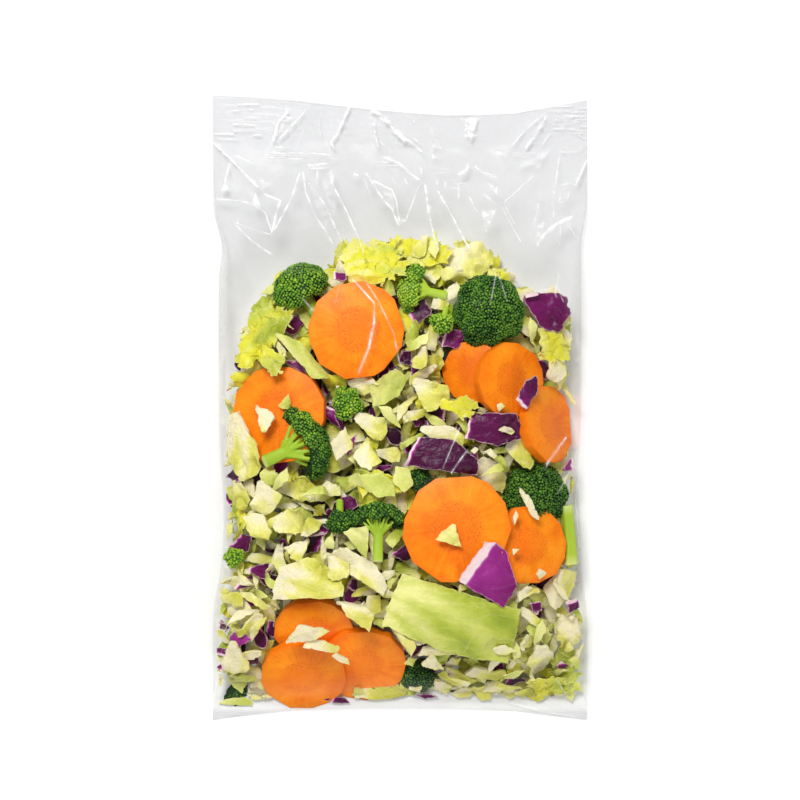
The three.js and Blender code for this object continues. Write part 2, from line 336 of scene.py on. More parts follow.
def set_attribute(mesh, name, values):
    """Stores one number for each vertex. A single value is the same for all."""
    found = mesh.attributes.get(name) or mesh.attributes.new(name, "FLOAT", "POINT")
    found.data.foreach_set("value", np.broadcast_to(values, len(mesh.vertices)).astype(float))


def set_uv(mesh, name, flat):
    """Stores a UV place for each vertex."""
    layer = mesh.uv_layers.get(name) or mesh.uv_layers.new(name=name)
    owner = np.zeros(len(mesh.loops), int)
    mesh.loops.foreach_get("vertex_index", owner)
    layer.uv.foreach_set("vector", np.asarray(flat)[owner].ravel())


def shift_tone(mesh, amount):
    values = np.zeros(len(mesh.vertices))
    mesh.attributes["tone"].data.foreach_get("value", values)
    set_attribute(mesh, "tone", values + amount)


def open_rim(mesh):
    """1 at each vertex on the open edge of a sheet and 0 elsewhere."""
    edges = np.zeros(len(mesh.loops), int)
    mesh.loops.foreach_get("edge_index", edges)
    faces_at = np.bincount(edges, minlength=len(mesh.edges))
    ends = np.zeros(len(mesh.edges) * 2, int)
    mesh.edges.foreach_get("vertices", ends)
    rim = np.zeros(len(mesh.vertices))
    rim[ends.reshape(-1, 2)[faces_at == 1].ravel()] = 1
    return rim


def spread_directions(count, polar_limit=math.pi):
    """Evenly spread unit vectors around +Z, out to the given angle from it."""
    low = math.cos(polar_limit)
    steps = np.arange(count) + 0.5
    height = 1 - steps / count * (1 - low)
    around = steps * math.pi * (3 - math.sqrt(5))
    across = np.sqrt(1 - height**2)
    return np.stack([across * np.cos(around), across * np.sin(around), height], axis=1)


def ease(value):
    value = np.clip(value, 0, 1)
    return value * value * (3 - 2 * value)


# ---------------------------------------------------------------------------------------------
# The film's own shape
# ---------------------------------------------------------------------------------------------


@functools.cache
def film_base():
    """The bag's closed outer surface, welded and smoothed once, as a mesh of its own."""
    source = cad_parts[BAG_NODE]
    film = show_mesh(source.data.copy(), "film_base")
    film.data.materials.clear()
    edit_all(film)
    bpy.ops.mesh.remove_doubles(threshold=1e-6)
    bpy.ops.mesh.tris_convert_to_quads(face_threshold=math.radians(60), shape_threshold=math.radians(60))
    end_edit()
    apply_modifier(film, "SUBSURF", levels=1, render_levels=1)
    return take_mesh(film)


@functools.cache
def film_tree():
    mesh = film_base()
    return BVHTree.FromPolygons(points_of(mesh).tolist(), [list(face.vertices) for face in mesh.polygons])


# ---------------------------------------------------------------------------------------------
# Packing
# ---------------------------------------------------------------------------------------------

CELL = 1.5 * MM
FILM_CLEARANCE = 0.7 * MM
PIECE_GAP = 0.15 * MM
SIDE_CLEARANCE = 1.5 * MM
BOTTOM_LIMIT = -145 * MM
STEEPEST = math.tan(math.radians(52))
SAMPLES_PER_MM2 = 2.2
PRESSED_SHARE = 0.3  # share of a soft sheet that is pressed flat against what lies over it
RIGID_SHARE = 0.08  # share of a firm piece that may sink into what lies over it
FILLER_SHARE = 0.015
EMPTY_SLOPE = 1.6 * MM
# The core is coloured dark as painted shade.
CORE_DEPTH = 16 * MM  # how far the dark core stays under the film


def blurred(grid, passes):
    for _ in range(passes):
        padded = np.pad(grid, 1, mode="edge")
        grid = (padded[:-2, 1:-1] + padded[2:, 1:-1] + 2 * padded[1:-1, 1:-1]) / 4
        padded = np.pad(grid, 1, mode="edge")
        grid = (padded[1:-1, :-2] + padded[1:-1, 2:] + 2 * padded[1:-1, 1:-1]) / 4
    return grid


def shrunk(grid, passes):
    """Each cell takes the lowest value beside it, so that a step down starts a cell earlier."""
    for _ in range(passes):
        padded = np.pad(grid, 1, mode="edge")
        lows = [padded[1:-1, 1:-1], padded[:-2, 1:-1], padded[2:, 1:-1]]
        lows += [padded[1:-1, :-2], padded[1:-1, 2:]]
        grid = np.minimum.reduce(lows)
    return grid


class Pile:
    """Packs pieces up against one side of the film, each under those placed before.

    Heights are kept on a grid. flip turns the bag so that the side being packed faces up.
    """

    def __init__(self, flip, seed):
        self.flip = flip
        self.draw = np.random.default_rng(seed)
        self.low_x = -92 * MM
        self.low_y = -152 * MM
        self.shape = (round(184 * MM / CELL), round(304 * MM / CELL))
        wall = self.film_heights(1)
        self.floor = -self.film_heights(-1) + FILM_CLEARANCE
        self.inside = np.isfinite(wall)
        wall = self.extended(np.where(self.inside, wall, -np.inf)) - FILM_CLEARANCE
        self.wall = wall
        self.limit = wall.copy()
        columns = np.where(self.inside, np.arange(self.shape[0])[:, None], -1).max(axis=0)
        half_width = np.maximum(self.low_x + (columns + 0.5) * CELL - SIDE_CLEARANCE, 0)
        rows = self.flip[1][1] * (self.low_y + (np.arange(self.shape[1]) + 0.5) * CELL)
        sides = np.array(SIDES_OF_FILLING) * MM
        left = np.interp(rows, sides[:, 0], sides[:, 1])
        right = np.interp(rows, sides[:, 0], sides[:, 2])
        self.reach = np.stack([np.maximum(left, -half_width), np.minimum(right, half_width)], axis=1)
        self.cover = np.zeros(self.shape, int)

    def film_heights(self, side):
        """Height of the film at each cell seen from above, or from below with side -1."""
        tree = film_tree()
        back = self.flip.inverted()
        along = back.to_3x3() @ Vector((0, 0, -side))
        found = np.full(self.shape, np.inf)
        for column in range(self.shape[0]):
            for row in range(self.shape[1]):
                x = self.low_x + (column + 0.5) * CELL
                y = self.low_y + (row + 0.5) * CELL
                hit = tree.ray_cast(back @ Vector((x, y, side)), along)[0]
                if hit:
                    found[column, row] = side * (self.flip @ hit).z
        return found

    def extended(self, wall):
        """Carries the wall's heights a little past its outline, going down."""
        for _ in range(8):
            padded = np.pad(wall, 1, constant_values=-np.inf)
            beside = [padded[:-2, 1:-1], padded[2:, 1:-1], padded[1:-1, :-2], padded[1:-1, 2:]]
            nearest = np.maximum.reduce(beside) - EMPTY_SLOPE
            wall = np.where(np.isfinite(wall), wall, nearest)
        return np.where(np.isfinite(wall), wall, 0)

    def cells(self, points):
        columns = ((points[:, 0] - self.low_x) / CELL).astype(int)
        rows = ((points[:, 1] - self.low_y) / CELL).astype(int)
        return np.clip(columns, 0, self.shape[0] - 1), np.clip(rows, 0, self.shape[1] - 1)

    def slope_under(self, points):
        """Slope along x and y of the plane nearest to the wall over these points."""
        columns, rows = self.cells(points)
        ones = np.ones(len(points))
        flat = np.stack([points[:, 0], points[:, 1], ones], axis=1)
        fitted = np.linalg.lstsq(flat, self.wall[columns, rows], rcond=None)[0]
        return np.clip(fitted[:2], -STEEPEST, STEEPEST)

    def limit_over(self, points):
        """The eased limit above each point, without the steps of single cells."""
        columns, rows = self.cells(points)
        low_column, low_row = max(columns.min() - 6, 0), max(rows.min() - 6, 0)
        window = self.limit[low_column : columns.max() + 7, low_row : rows.max() + 7]
        return blurred(shrunk(window, 1), 3)[columns - low_column, rows - low_row]

    def kept_inside(self, points):
        """Shifts a piece towards the middle until it is inside the filling's sides, or trims it."""
        columns, rows = self.cells(points)
        reach = self.reach[rows]
        limits = sorted([self.flip[1][1] * BOTTOM_LIMIT, self.flip[1][1] * 1])
        points[:, 1] += max(limits[0] - points[:, 1].min(), 0)
        points[:, 1] -= max(points[:, 1].max() - limits[1], 0)
        over, under = (points[:, 0] - reach[:, 1]).max(), (reach[:, 0] - points[:, 0]).max()
        points[:, 0] += max(under, 0) - max(over, 0)
        rows = self.cells(points)[1]
        points[:, 0] = np.clip(points[:, 0], *self.reach[rows].T)
        return points

    def settle(self, meshes, x, y, turn, lean=(0, 0), axis=None, level=False, flatten=1.0,
               softness=0.0, thickness=0.0, deepest=None):
        """Leans the meshes, as one, along the film at x, y and slides them up until they touch.

        lean is an angle and a direction in degrees, from the film's slope or, if level, from
        level. axis is a rotation for a floret's crown and flatten squashes one that lies on its
        side. thickness is how much of a piece the next ones keep clear of, and deepest is how
        far its top may end up under the film. Returns whether there was room.
        """
        spin = Matrix.Rotation(math.radians(turn), 3, "Z")
        counts = [len(mesh.vertices) for mesh in meshes]
        points = np.concatenate([points_of(mesh) for mesh in meshes])
        across = Vector((math.cos(math.radians(lean[1])), math.sin(math.radians(lean[1])), 0))
        tilt = axis or Matrix.Rotation(math.radians(lean[0]), 3, UP.cross(across))
        if not level and axis is None:
            slope = self.slope_under(points @ np.array(spin).T + (x, y, 0))
            along_film = UP.rotation_difference(Vector((-slope[0], -slope[1], 1))).to_matrix()
            tilt = along_film @ tilt
        points = points @ np.array(tilt @ spin).T * (1, 1, flatten) + (x, y, 0)
        points = self.kept_inside(points)
        if softness:
            above = self.limit_over(points)
            flat = np.stack([points[:, 0], points[:, 1], np.ones(len(points))], axis=1)
            plane = flat @ np.linalg.lstsq(flat, above, rcond=None)[0]
            points[:, 2] += softness * (above - plane)
            rise = np.quantile(above - points[:, 2], PRESSED_SHARE)
        columns, rows = self.cells(points)
        if not softness:
            sinking = FILLER_SHARE if deepest is None else RIGID_SHARE
            rise = np.quantile(self.limit[columns, rows] - points[:, 2], sinking)
        if deepest is not None:
            near_film = (self.wall[columns, rows] - points[:, 2]).min()
            rise = max(rise, near_film - deepest)
        points[:, 2] += rise
        if softness:
            points[:, 2] = np.minimum(points[:, 2], np.maximum(above, self.wall[columns, rows] - (deepest or 1)))
        points[:, 2] -= max((points[:, 2] - self.wall[columns, rows]).max(), 0)
        space = points[:, 2] - self.floor[columns, rows]
        sunk = (self.wall[columns, rows] - points[:, 2]).min() > CORE_DEPTH
        if deepest is None and (sunk or np.quantile(space, 0.05) < thickness):
            return False
        if axis is None and not level:
            points[:, 2] = np.maximum(points[:, 2], self.floor[columns, rows] + thickness)
        shares = np.split(points, np.cumsum(counts)[:-1])
        for mesh, share in zip(meshes, shares):
            set_points(mesh, share)
            self.press(share, triangles_of(mesh), thickness, flatten != 1 or level)
            mesh.transform(self.flip.inverted())
        return True

    def press(self, points, triangles, thickness, solid):
        """Lowers the limit under a piece just placed."""
        corners = points[triangles]
        crossed = np.cross(corners[:, 1] - corners[:, 0], corners[:, 2] - corners[:, 0])
        areas = np.linalg.norm(crossed, axis=1) / 2
        count = int(areas.sum() / MM**2 * SAMPLES_PER_MM2) + 8
        chosen = self.draw.choice(len(triangles), count, p=areas / areas.sum())
        u, v = self.draw.random((2, count))
        fold = u + v > 1
        u, v = np.where(fold, 1 - u, u)[:, None], np.where(fold, 1 - v, v)[:, None]
        picked = corners[chosen]
        spots = picked[:, 0] * (1 - u - v) + picked[:, 1] * u + picked[:, 2] * v
        columns, rows = self.cells(spots)
        top = np.full(self.shape, -np.inf)
        np.maximum.at(top, (columns, rows), spots[:, 2])
        under = np.full(self.shape, np.inf)
        np.minimum.at(under, (columns, rows), spots[:, 2])
        kept = np.maximum(under, top - thickness) if solid else under - thickness
        covered = np.isfinite(under)
        self.limit[covered] = np.minimum(self.limit, kept - PIECE_GAP)[covered]
        seen = np.zeros(self.shape, bool)
        seen[columns, rows] = True
        self.cover += seen


# ---------------------------------------------------------------------------------------------
# Masters: one of each form, modelled flat or upright around the origin
# ---------------------------------------------------------------------------------------------


def cloud_texture(name, size):
    texture = bpy.data.textures.get(name) or bpy.data.textures.new(name, "CLOUDS")
    texture.noise_scale = size
    texture.noise_depth = 1
    return texture


UV_SPAN = 20 * MM  # length of a leaf that one unit of its UV map covers


def leaf_uv(mesh, draw):
    """Lays a leaf's own pattern on it, shifted and turned at random."""
    points = points_of(mesh)[:, :2] / UV_SPAN
    turn = draw.uniform(-0.5, 0.5)
    turned = points @ np.array([[math.cos(turn), math.sin(turn)], [-math.sin(turn), math.cos(turn)]])
    set_uv(mesh, "leaf", turned + (draw.uniform(0, 50), draw.uniform(0, 50)))


def delete_faces(piece, unwanted):
    """Deletes the faces for which unwanted is true."""
    edit_all(piece)
    bpy.ops.mesh.select_mode(type="FACE")
    bpy.ops.mesh.select_all(action="DESELECT")
    end_edit()
    piece.data.polygons.foreach_set("select", unwanted)
    bpy.ops.object.mode_set(mode="EDIT")
    bpy.ops.mesh.delete(type="FACE")
    bpy.ops.mesh.select_mode(type="VERT")
    end_edit()


def notch_margin(piece, length, width, draw):
    """Cuts small teeth into the outer margin of a lettuce leaf."""
    centres = np.array([face.center[:2] for face in piece.data.polygons]) / MM
    along, across = centres[:, 0] / length + 0.5, np.abs(centres[:, 1]) / width * 2
    phase = draw.uniform(0, 6)
    outer = 1 - 0.2 * np.abs(np.sin(centres[:, 1] / 1.5 + phase + 0.8 * np.sin(centres[:, 1] / 2.7)))
    sides = 1 - 0.22 * np.abs(np.sin(centres[:, 0] / 1.7 + phase)) * ease(2 * along)
    delete_faces(piece, (along > outer) | (across > sides))


def sheet(kind, length, width, cut, tone, draw, coarse=1.0):
    """One flat piece of leaf cut to shape, then waved, folded and curled. Sizes are in millimetres."""
    cell = SHEET_FORMS[kind][0] * coarse
    jitter = 0.12 if max(length, width) > 24 else 0.22
    columns = max(3, round(length / cell))
    rows = max(3, round(width / cell))
    deselect_all()
    bpy.ops.mesh.primitive_grid_add(x_subdivisions=columns, y_subdivisions=rows, size=1)
    piece = bpy.context.object
    edit_all(piece)
    bpy.ops.transform.resize(value=(length * MM, width * MM, 1))
    corners = [
        ((x + draw.uniform(-jitter, jitter)) * length / 2 * MM, (y + draw.uniform(-jitter, jitter)) * width / 2 * MM)
        for x, y in CUTS[cut]
    ]
    for here, there in zip(corners, corners[1:] + corners[:1]):
        normal = Vector((there[1] - here[1], here[0] - there[0], 0)).normalized()
        bpy.ops.mesh.select_all(action="SELECT")
        bpy.ops.mesh.bisect(plane_co=(*here, 0), plane_no=normal, clear_outer=True, threshold=0.01 * MM)
    bpy.ops.mesh.select_all(action="SELECT")
    bpy.ops.mesh.remove_doubles(threshold=0.3 * MM)
    end_edit()
    if kind == "lettuce":
        notch_margin(piece, length, width, draw)
    mesh = piece.data
    leaf_uv(mesh, draw)
    set_attribute(mesh, "rim", open_rim(mesh))
    set_attribute(mesh, "tone", sheet_tones(mesh, kind, corners, length, width, tone, draw))
    along = points_of(mesh)[:, 0] / (length * MM)
    thick = piece.vertex_groups.new(name="thick")
    for number, share in enumerate(ease(0.7 * tone - along)):
        thick.add([number], float(share), "REPLACE")
    if min(length, width) > 3.5:
        shape_sheet(piece, kind, length, width, draw)
    return take_mesh(piece)


VEIN_COUNT = 17
TONE_FALL = 1.0  # a piece is up to this much paler at its base than at its outer margin
RIB_SHARE = 0.5  # share of the cabbage pieces that have a pale rib running out from their base


def sheet_tones(mesh, kind, corners, length, width, tone, draw):
    """A sheet's tone: palest at its base, and along a rib, or a white cut band on red cabbage."""
    points = points_of(mesh)[:, :2]
    last, first = np.array(corners[-1]), np.array(corners[0])
    inwards = np.array([last[1] - first[1], first[0] - last[0]]) / np.linalg.norm(first - last)
    away = (points - first) @ inwards
    away = away * np.sign(away.sum()) / MM
    if kind == "red_cabbage":
        band = draw.uniform(0.5, 1.6) if width < 25 else 3.4
        return tone * 0.8 + 0.9 * ease(1.6 - away / band) - 0.12 * ease(away / length)
    share = away / length
    fall = draw.uniform(0.45, TONE_FALL) * (1 if kind == "cabbage" else 0.6)
    tones = tone - 0.35 * fall + fall * ease(0.85 - 1.3 * share)
    if length > LARGE_LEAF:
        aim = np.arctan2(points[:, 1], points[:, 0] + 0.75 * length * MM)
        veins = np.exp(-((np.sin(VEIN_COUNT * aim + 0.4 * np.sin(share * 7)) / 0.16) ** 2))
        tones += 0.3 * veins * (1.1 - share) + 0.2 * np.sin(share * 9 + aim * 17 + 2)
    if kind == "cabbage" and draw.random() < RIB_SHARE:
        across = (points[:, 1] - (first + last)[1] / 2) / MM - draw.uniform(-0.25, 0.25) * away
        half = 0.7 + 0.1 * width * (1 - np.clip(share, 0, 1))
        tones += 0.35 * np.exp(-((across / half) ** 2)) * ease(1.5 - 1.4 * share)
    return tones


def shape_sheet(piece, kind, length, width, draw):
    """Gives a flat sheet a worn outline, waves, a frilled outer margin, a fold and a curl."""
    _, waves, wave_length, frill, curl, _, ragged, _ = SHEET_FORMS[kind]
    margin = piece.vertex_groups.new(name="margin")
    along = points_of(piece.data)[:, 0] / (length * MM) + 0.5
    for number, share in enumerate(ease(along * 1.5 - 0.3)):
        margin.add([number], float(share), "REPLACE")
    layer = {"texture_coords": "UV", "uv_layer": "leaf", "mid_level": 0.5}
    large = length > LARGE_LEAF
    wander = ragged * min(width, 14) * 1.6 * MM
    sideways = cloud_texture("sideways", 0.42)
    endways = cloud_texture("endways", 0.36)
    wave_length *= 2 if large else 1
    wide = cloud_texture(f"waves_{wave_length}", wave_length / 20)
    fine = cloud_texture("frill", 0.25)
    apply_modifier(piece, "DISPLACE", texture=sideways, strength=wander, direction="Y", **layer)
    apply_modifier(piece, "DISPLACE", texture=endways, strength=wander, direction="X", **layer)
    if not large:
        nicks = {"texture": cloud_texture("nicks", 0.11), "strength": NICK_DEPTH, "direction": "Y"}
        apply_modifier(piece, "DISPLACE", **nicks, **layer)
    apply_modifier(piece, "DISPLACE", texture=wide, strength=waves * 2.6 * MM, direction="Z", **layer)
    frilled = {"strength": frill * 2 * MM, "vertex_group": "margin", "direction": "Z"}
    apply_modifier(piece, "DISPLACE", texture=fine, **frilled, **layer)
    if large:
        rib_sheet(piece.data)
        curl *= 0.3
    elif draw.random() < FOLDED_SHARE and width < WIDEST_FOLDED:
        fold_sheet(piece.data, width, draw)
    angle = math.radians(curl * draw.uniform(-1.4, 1.4))
    axis = draw.choice("XY")
    apply_modifier(piece, "SIMPLE_DEFORM", deform_method="BEND", deform_axis=axis, angle=angle)
    piece.vertex_groups.remove(piece.vertex_groups["margin"])


NICK_DEPTH = 1.3 * MM
FOLDED_SHARE = 0.6
WIDEST_FOLDED = 27
LARGE_LEAF = 26  # a sheet longer than this is ribbed and neither folded nor much curled


def rib_sheet(mesh):
    """Raises soft ribs that fan out along a large leaf."""
    points = points_of(mesh)
    x, y = points[:, 0] / MM, points[:, 1] / MM
    across = y * (1 + 0.006 * x) + 0.12 * x + 1.2 * np.sin(x / 9)
    points[:, 2] += (0.2 * np.sin(across * 0.8) + 0.06 * np.sin(across * 2.1 + 1)) * MM
    set_points(mesh, points)


def fold_sheet(mesh, width, draw):
    """Turns the part of a sheet past a slanting line down, as a leaf folds along a vein."""
    points = points_of(mesh)
    aim = draw.uniform(0, math.tau)
    across = np.array([math.cos(aim), math.sin(aim)])
    offset = width * draw.uniform(0.05, 0.3) * MM
    past = np.maximum(points[:, :2] @ across - offset, 0)
    angle = math.radians(draw.uniform(25, 75))
    eased = np.sqrt(past**2 + (0.3 * MM) ** 2) - 0.3 * MM
    points[:, :2] -= (eased * (1 - math.cos(angle)))[:, None] * across
    points[:, 2] -= eased * math.sin(angle)
    set_points(mesh, points)


def carrot_slice(radius, draw):
    """A round slice whose peeled side is a ring of narrow flats, its cut faces up and down."""
    sides = 13
    thickness = bpy.context.scene.vegetable_bag.carrot_thickness
    deselect_all()
    bpy.ops.mesh.primitive_cylinder_add(vertices=sides, radius=radius * MM, depth=thickness)
    piece = bpy.context.object
    points = points_of(piece.data)
    lower = points[:, 2] < 0
    phase = draw.uniform(0, math.tau)
    chance = np.random.default_rng(draw.randrange(10**6))
    shift = chance.uniform(-0.13, 0.13, sides)
    swell = 1.01 + chance.uniform(-0.022, 0.022, sides)
    number = np.round(np.arctan2(points[:, 1], points[:, 0]) / math.tau * sides).astype(int) % sides
    around = np.arctan2(points[:, 1], points[:, 0]) + shift[number]
    reach = swell[number] * (1 + 0.02 * np.sin(2 * around + phase)) * np.where(lower, 0.985, 1)
    points[:, 0] = radius * MM * reach * np.cos(around)
    points[:, 1] = radius * MM * reach * np.sin(around)
    set_points(piece.data, points)
    edit_all(piece)
    bpy.ops.mesh.bevel(offset=0.55 * MM, segments=2, profile=0.6)
    end_edit()
    mesh = piece.data
    points = points_of(mesh)
    set_uv(mesh, "disc", points[:, :2] / (radius * MM))
    set_attribute(mesh, "tone", draw.random())
    return take_mesh(piece)


# Broccoli ------------------------------------------------------------------------------------

BUD_PITCH = 1.35 * MM


def cluster_layout(radius, lying):
    """Fork of the branches, and the centres and radius of the bud clusters of a crown along +Z.

    A crown that shows from its side has a longer fork and a flatter cap of clusters.
    """
    count = (26 if lying else 19) if radius > 12 else (20 if lying else 12) if radius > 9 else 7
    share = (0.33 if lying else 0.4) if radius > 9 else 0.42
    spread = math.radians(52 if lying else 82)
    reach = radius * (1.55 if lying else 1.03)
    fork = np.array([0, 0, -reach * (0.62 if lying else 0.75)])
    away = spread_directions(count, spread) * (reach - share * radius)
    return fork * MM, (fork + away) * MM, share * radius * MM


def bud_mesh(radius, tone, lying, draw):
    """All the buds of one crown: small rounded beads over each cluster, painted lighter at their tips and darker at
    their feet as light and shade, and its inside, darkened as painted shade.
    """
    fork, centres, cluster = cluster_layout(radius, lying)
    chance = np.random.default_rng(draw.randrange(10**6))
    deselect_all()
    bpy.ops.mesh.primitive_ico_sphere_add(subdivisions=1, radius=1)
    bead = take_mesh(bpy.context.object)
    bead_points, bead_faces = points_of(bead), triangles_of(bead)
    spots, sizes, tones, aims = [], [], [], []
    count = int(4 * math.pi * cluster**2 / (BUD_PITCH**2 * 0.95))
    for number, centre in enumerate(centres):
        swell = cluster * chance.uniform(0.92, 1.1)
        outwards = spread_directions(count) @ np.array(Matrix.Rotation(chance.uniform(0, 6), 3, "Z"))
        places = centre + outwards * swell + chance.normal(0, 0.17 * MM, (count, 3))
        gaps = np.linalg.norm(places[:, None] - np.delete(centres, number, 0)[None], axis=2)
        aim = (centre - fork) / np.linalg.norm(centre - fork)
        shown = (gaps > cluster * 0.97).all(axis=1)
        shown &= (places - centre) @ aim > (-0.35 if lying else -0.3) * cluster
        spots.append(places[shown])
        aims.append(outwards[shown])
        tones.append(tone + chance.normal(0, 0.07) + chance.normal(0, 0.12, shown.sum()))
        sizes.append(chance.uniform(0.42, 0.62, shown.sum()) * BUD_PITCH)
    spots, sizes, tones = np.concatenate(spots), np.concatenate(sizes), np.concatenate(tones)
    beads = spots[:, None] + bead_points[None] * sizes[:, None, None]
    lift = np.einsum("bi,vi->bv", np.concatenate(aims), bead_points)
    # Each bud is painted lighter at its outward tip and darker at its foot: painted light and shade.
    tones = tones[:, None] + BUD_PAINTED_SHADING * (lift - 0.45)
    faces = bead_faces[None] + (np.arange(len(spots)) * len(bead_points))[:, None, None]
    mesh = bpy.data.meshes.new("buds")
    mesh.from_pydata(beads.reshape(-1, 3).tolist(), [], faces.reshape(-1, 3).tolist())
    set_attribute(mesh, "tone", np.clip(tones, 0, 1).ravel())
    bpy.data.meshes.remove(bead)
    insides = [cluster_inside(centre, cluster * 0.93) for centre in centres]
    # The clusters' insides are darkened as painted shade between the buds.
    for inside in insides:
        set_attribute(inside, "tone", max(tone - 0.45, 0))
    return take_mesh(join_meshes([mesh] + insides, "buds"))


# The lighter tips and darker feet are painted light and shade.
BUD_PAINTED_SHADING = 0.42  # how much lighter a bud is at its tip than at its foot


def cluster_inside(centre, radius):
    deselect_all()
    bpy.ops.mesh.primitive_ico_sphere_add(subdivisions=2, radius=radius, location=centre)
    piece = bpy.context.object
    bpy.ops.object.transform_apply(location=True)
    return take_mesh(piece)


def cone_between(start, end, start_radius, end_radius):
    span = Vector(end) - Vector(start)
    deselect_all()
    bpy.ops.mesh.primitive_cone_add(
        vertices=9,
        radius1=start_radius,
        radius2=end_radius,
        depth=span.length,
        location=(Vector(start) + Vector(end)) / 2,
        rotation=span.to_track_quat("Z", "Y").to_euler(),
    )
    bpy.ops.object.transform_apply(location=True, rotation=True)
    return take_mesh(bpy.context.object)


def stalk_mesh(radius, length, tone, lying):
    """The trunk under a crown with a branch to each cluster, made one smooth body."""
    fork, centres, cluster = cluster_layout(radius, lying)
    trunk = min(0.26 * radius, 3.3) * MM
    foot = fork + np.array([0.06 * length, 0, -length]) * MM
    collar = fork + (foot - fork) * 0.12
    parts = [cone_between(foot, fork, trunk, trunk * 0.9)]
    for centre in centres:
        parts.append(cone_between(collar, centre, trunk * 0.3, cluster * 0.22))
    piece = join_meshes(parts, "stalk")
    apply_modifier(piece, "REMESH", mode="VOXEL", voxel_size=0.6 * MM)
    apply_modifier(piece, "SMOOTH", factor=0.5, iterations=2)
    apply_modifier(piece, "DECIMATE", ratio=0.4)
    mesh = piece.data
    points = points_of(mesh)
    drop = (points[:, 2] - foot[2]) / (fork[2] - foot[2])
    set_attribute(mesh, "tone", tone)
    set_attribute(mesh, "cut", ease(1 - np.clip(drop, 0, 1) / 0.06))
    return take_mesh(piece)


def floret(radius, length, tone, lying, draw):
    """The two meshes of one floret, buds and stalk, with the crown's axis along +Z."""
    return bud_mesh(radius, tone, lying, draw), stalk_mesh(radius, length, 0.35 + 0.5 * tone, lying)


def cut_stalk(length, radius):
    """A loose length of stalk, slightly bent, with ridges along it."""
    deselect_all()
    bpy.ops.mesh.primitive_cylinder_add(
        vertices=14, radius=radius * MM, depth=length * MM, rotation=(0, math.pi / 2, 0)
    )
    piece = bpy.context.object
    bpy.ops.object.transform_apply(rotation=True)
    edit_all(piece)
    bpy.ops.mesh.subdivide(number_cuts=5)
    end_edit()
    mesh = piece.data
    points = points_of(mesh)
    along = points[:, 0] / (length * MM)
    around = np.arctan2(points[:, 2], points[:, 1])
    swell = 1 - 0.25 * along + 0.07 * np.sin(5 * around)
    points[:, 1:] *= swell[:, None]
    points[:, 1] += 0.08 * length * MM * along**2
    set_points(mesh, points)
    set_attribute(mesh, "tone", 0.7)
    set_attribute(mesh, "cut", ease((np.abs(along) - 0.47) / 0.03))
    return take_mesh(piece)

# ---------------------------------------------------------------------------------------------
# The filling: every piece in its place
# ---------------------------------------------------------------------------------------------

# Upper end of the filling across the bag: x, y
TOP_OF_FILLING = [
    (-88, 12),
    (-80, 30),
    (-72, 44),
    (-66, 52),
    (-60, 58),
    (-34, 60),
    (-28, 74),
    (0, 78),
    (34, 76),
    (46, 66),
    (58, 54),
    (74, 52),
    (82, 36),
    (88, 14),
]

# Sides of the filling: y, left, right
SIDES_OF_FILLING = [
    (-150, -90, 90),
    (-6, -86, 86),
    (8, -83, 85),
    (18, -80, 80),
    (28, -78, 82),
    (37, -75, 82),
    (46, -71, 81),
    (56, -65, 79),
    (66, -58, 60),
    (80, -40, 45),
    (150, -40, 45),
]

# Sheets pressed flat near the bottom seal, under the pieces that show: as in SHEETS
BACKING = [
    ("leaf", 9, -78, -126, 26, 16, 85, "fan", 0.5),
    ("cabbage", 9, -62, -134, 26, 13, 8, "slab", 0.6),
    ("red_cabbage", 9, -34, -137, 20, 9, -6, "fan", 0.3),
    ("cabbage", 9, -10, -136, 24, 10, 4, "board", 0.5),
    ("leaf", 9, 8, -134, 24, 14, 10, "slab", 0.5),
    ("cabbage", 9, 27, -134, 26, 13, -6, "fan", 0.5),
    ("leaf", 9, 44, -131, 25, 17, 12, "slab", 0.6),
    ("cabbage", 9, 62, -134, 26, 13, 4, "board", 0.45),
    ("leaf", 9, 78, -126, 25, 15, 88, "fan", 0.6),
    ("cabbage", 9, 80, -100, 26, 12, 86, "slab", 0.6),
    ("cabbage", 9, 56, -118, 26, 20, 30, "fan", 0.5),
]

# Masters for the pieces that fill the gaps: kind, length, width, cut
FILLERS = [
    ("cabbage", 15, 9, "slab"),
    ("cabbage", 13, 9, "triangle"),
    ("cabbage", 17, 10, "fan"),
    ("cabbage", 12, 7, "kite"),
    ("cabbage", 19, 7, "wedge"),
    ("cabbage", 14, 10, "shard"),
    ("cabbage", 18, 4.5, "shard"),
    ("cabbage", 14, 3.6, "needle"),
    ("cabbage", 10, 6, "shard"),
    ("cabbage", 10.5, 4, "needle"),
    ("leaf", 16, 10, "fan"),
    ("leaf", 13, 7, "wedge"),
    ("leaf", 17, 5, "kite"),
    ("leaf", 10, 5, "kite"),
    ("lettuce", 22, 15, "fan"),
    ("lettuce", 17, 12, "wedge"),
    ("lettuce", 10, 7, "kite"),
    ("red_cabbage", 16, 10, "kite"),
    ("red_cabbage", 14, 8, "fan"),
    ("red_cabbage", 17, 5, "shard"),
    ("red_cabbage", 10.5, 5, "shard"),
]
# Masters for the loose shreds among the upper pieces: kind, length, width, cut
SHREDS = [
    ("cabbage", 20, 5, "needle"),
    ("cabbage", 16, 6, "shard"),
    ("cabbage", 18, 7, "wedge"),
    ("cabbage", 14, 5, "kite"),
    ("cabbage", 12, 8, "fan"),
    ("leaf", 17, 6, "shard"),
    ("leaf", 20, 5, "needle"),
]
LONGEST_SCRAP = 11  # fillers shorter than this also plug the small holes that are left
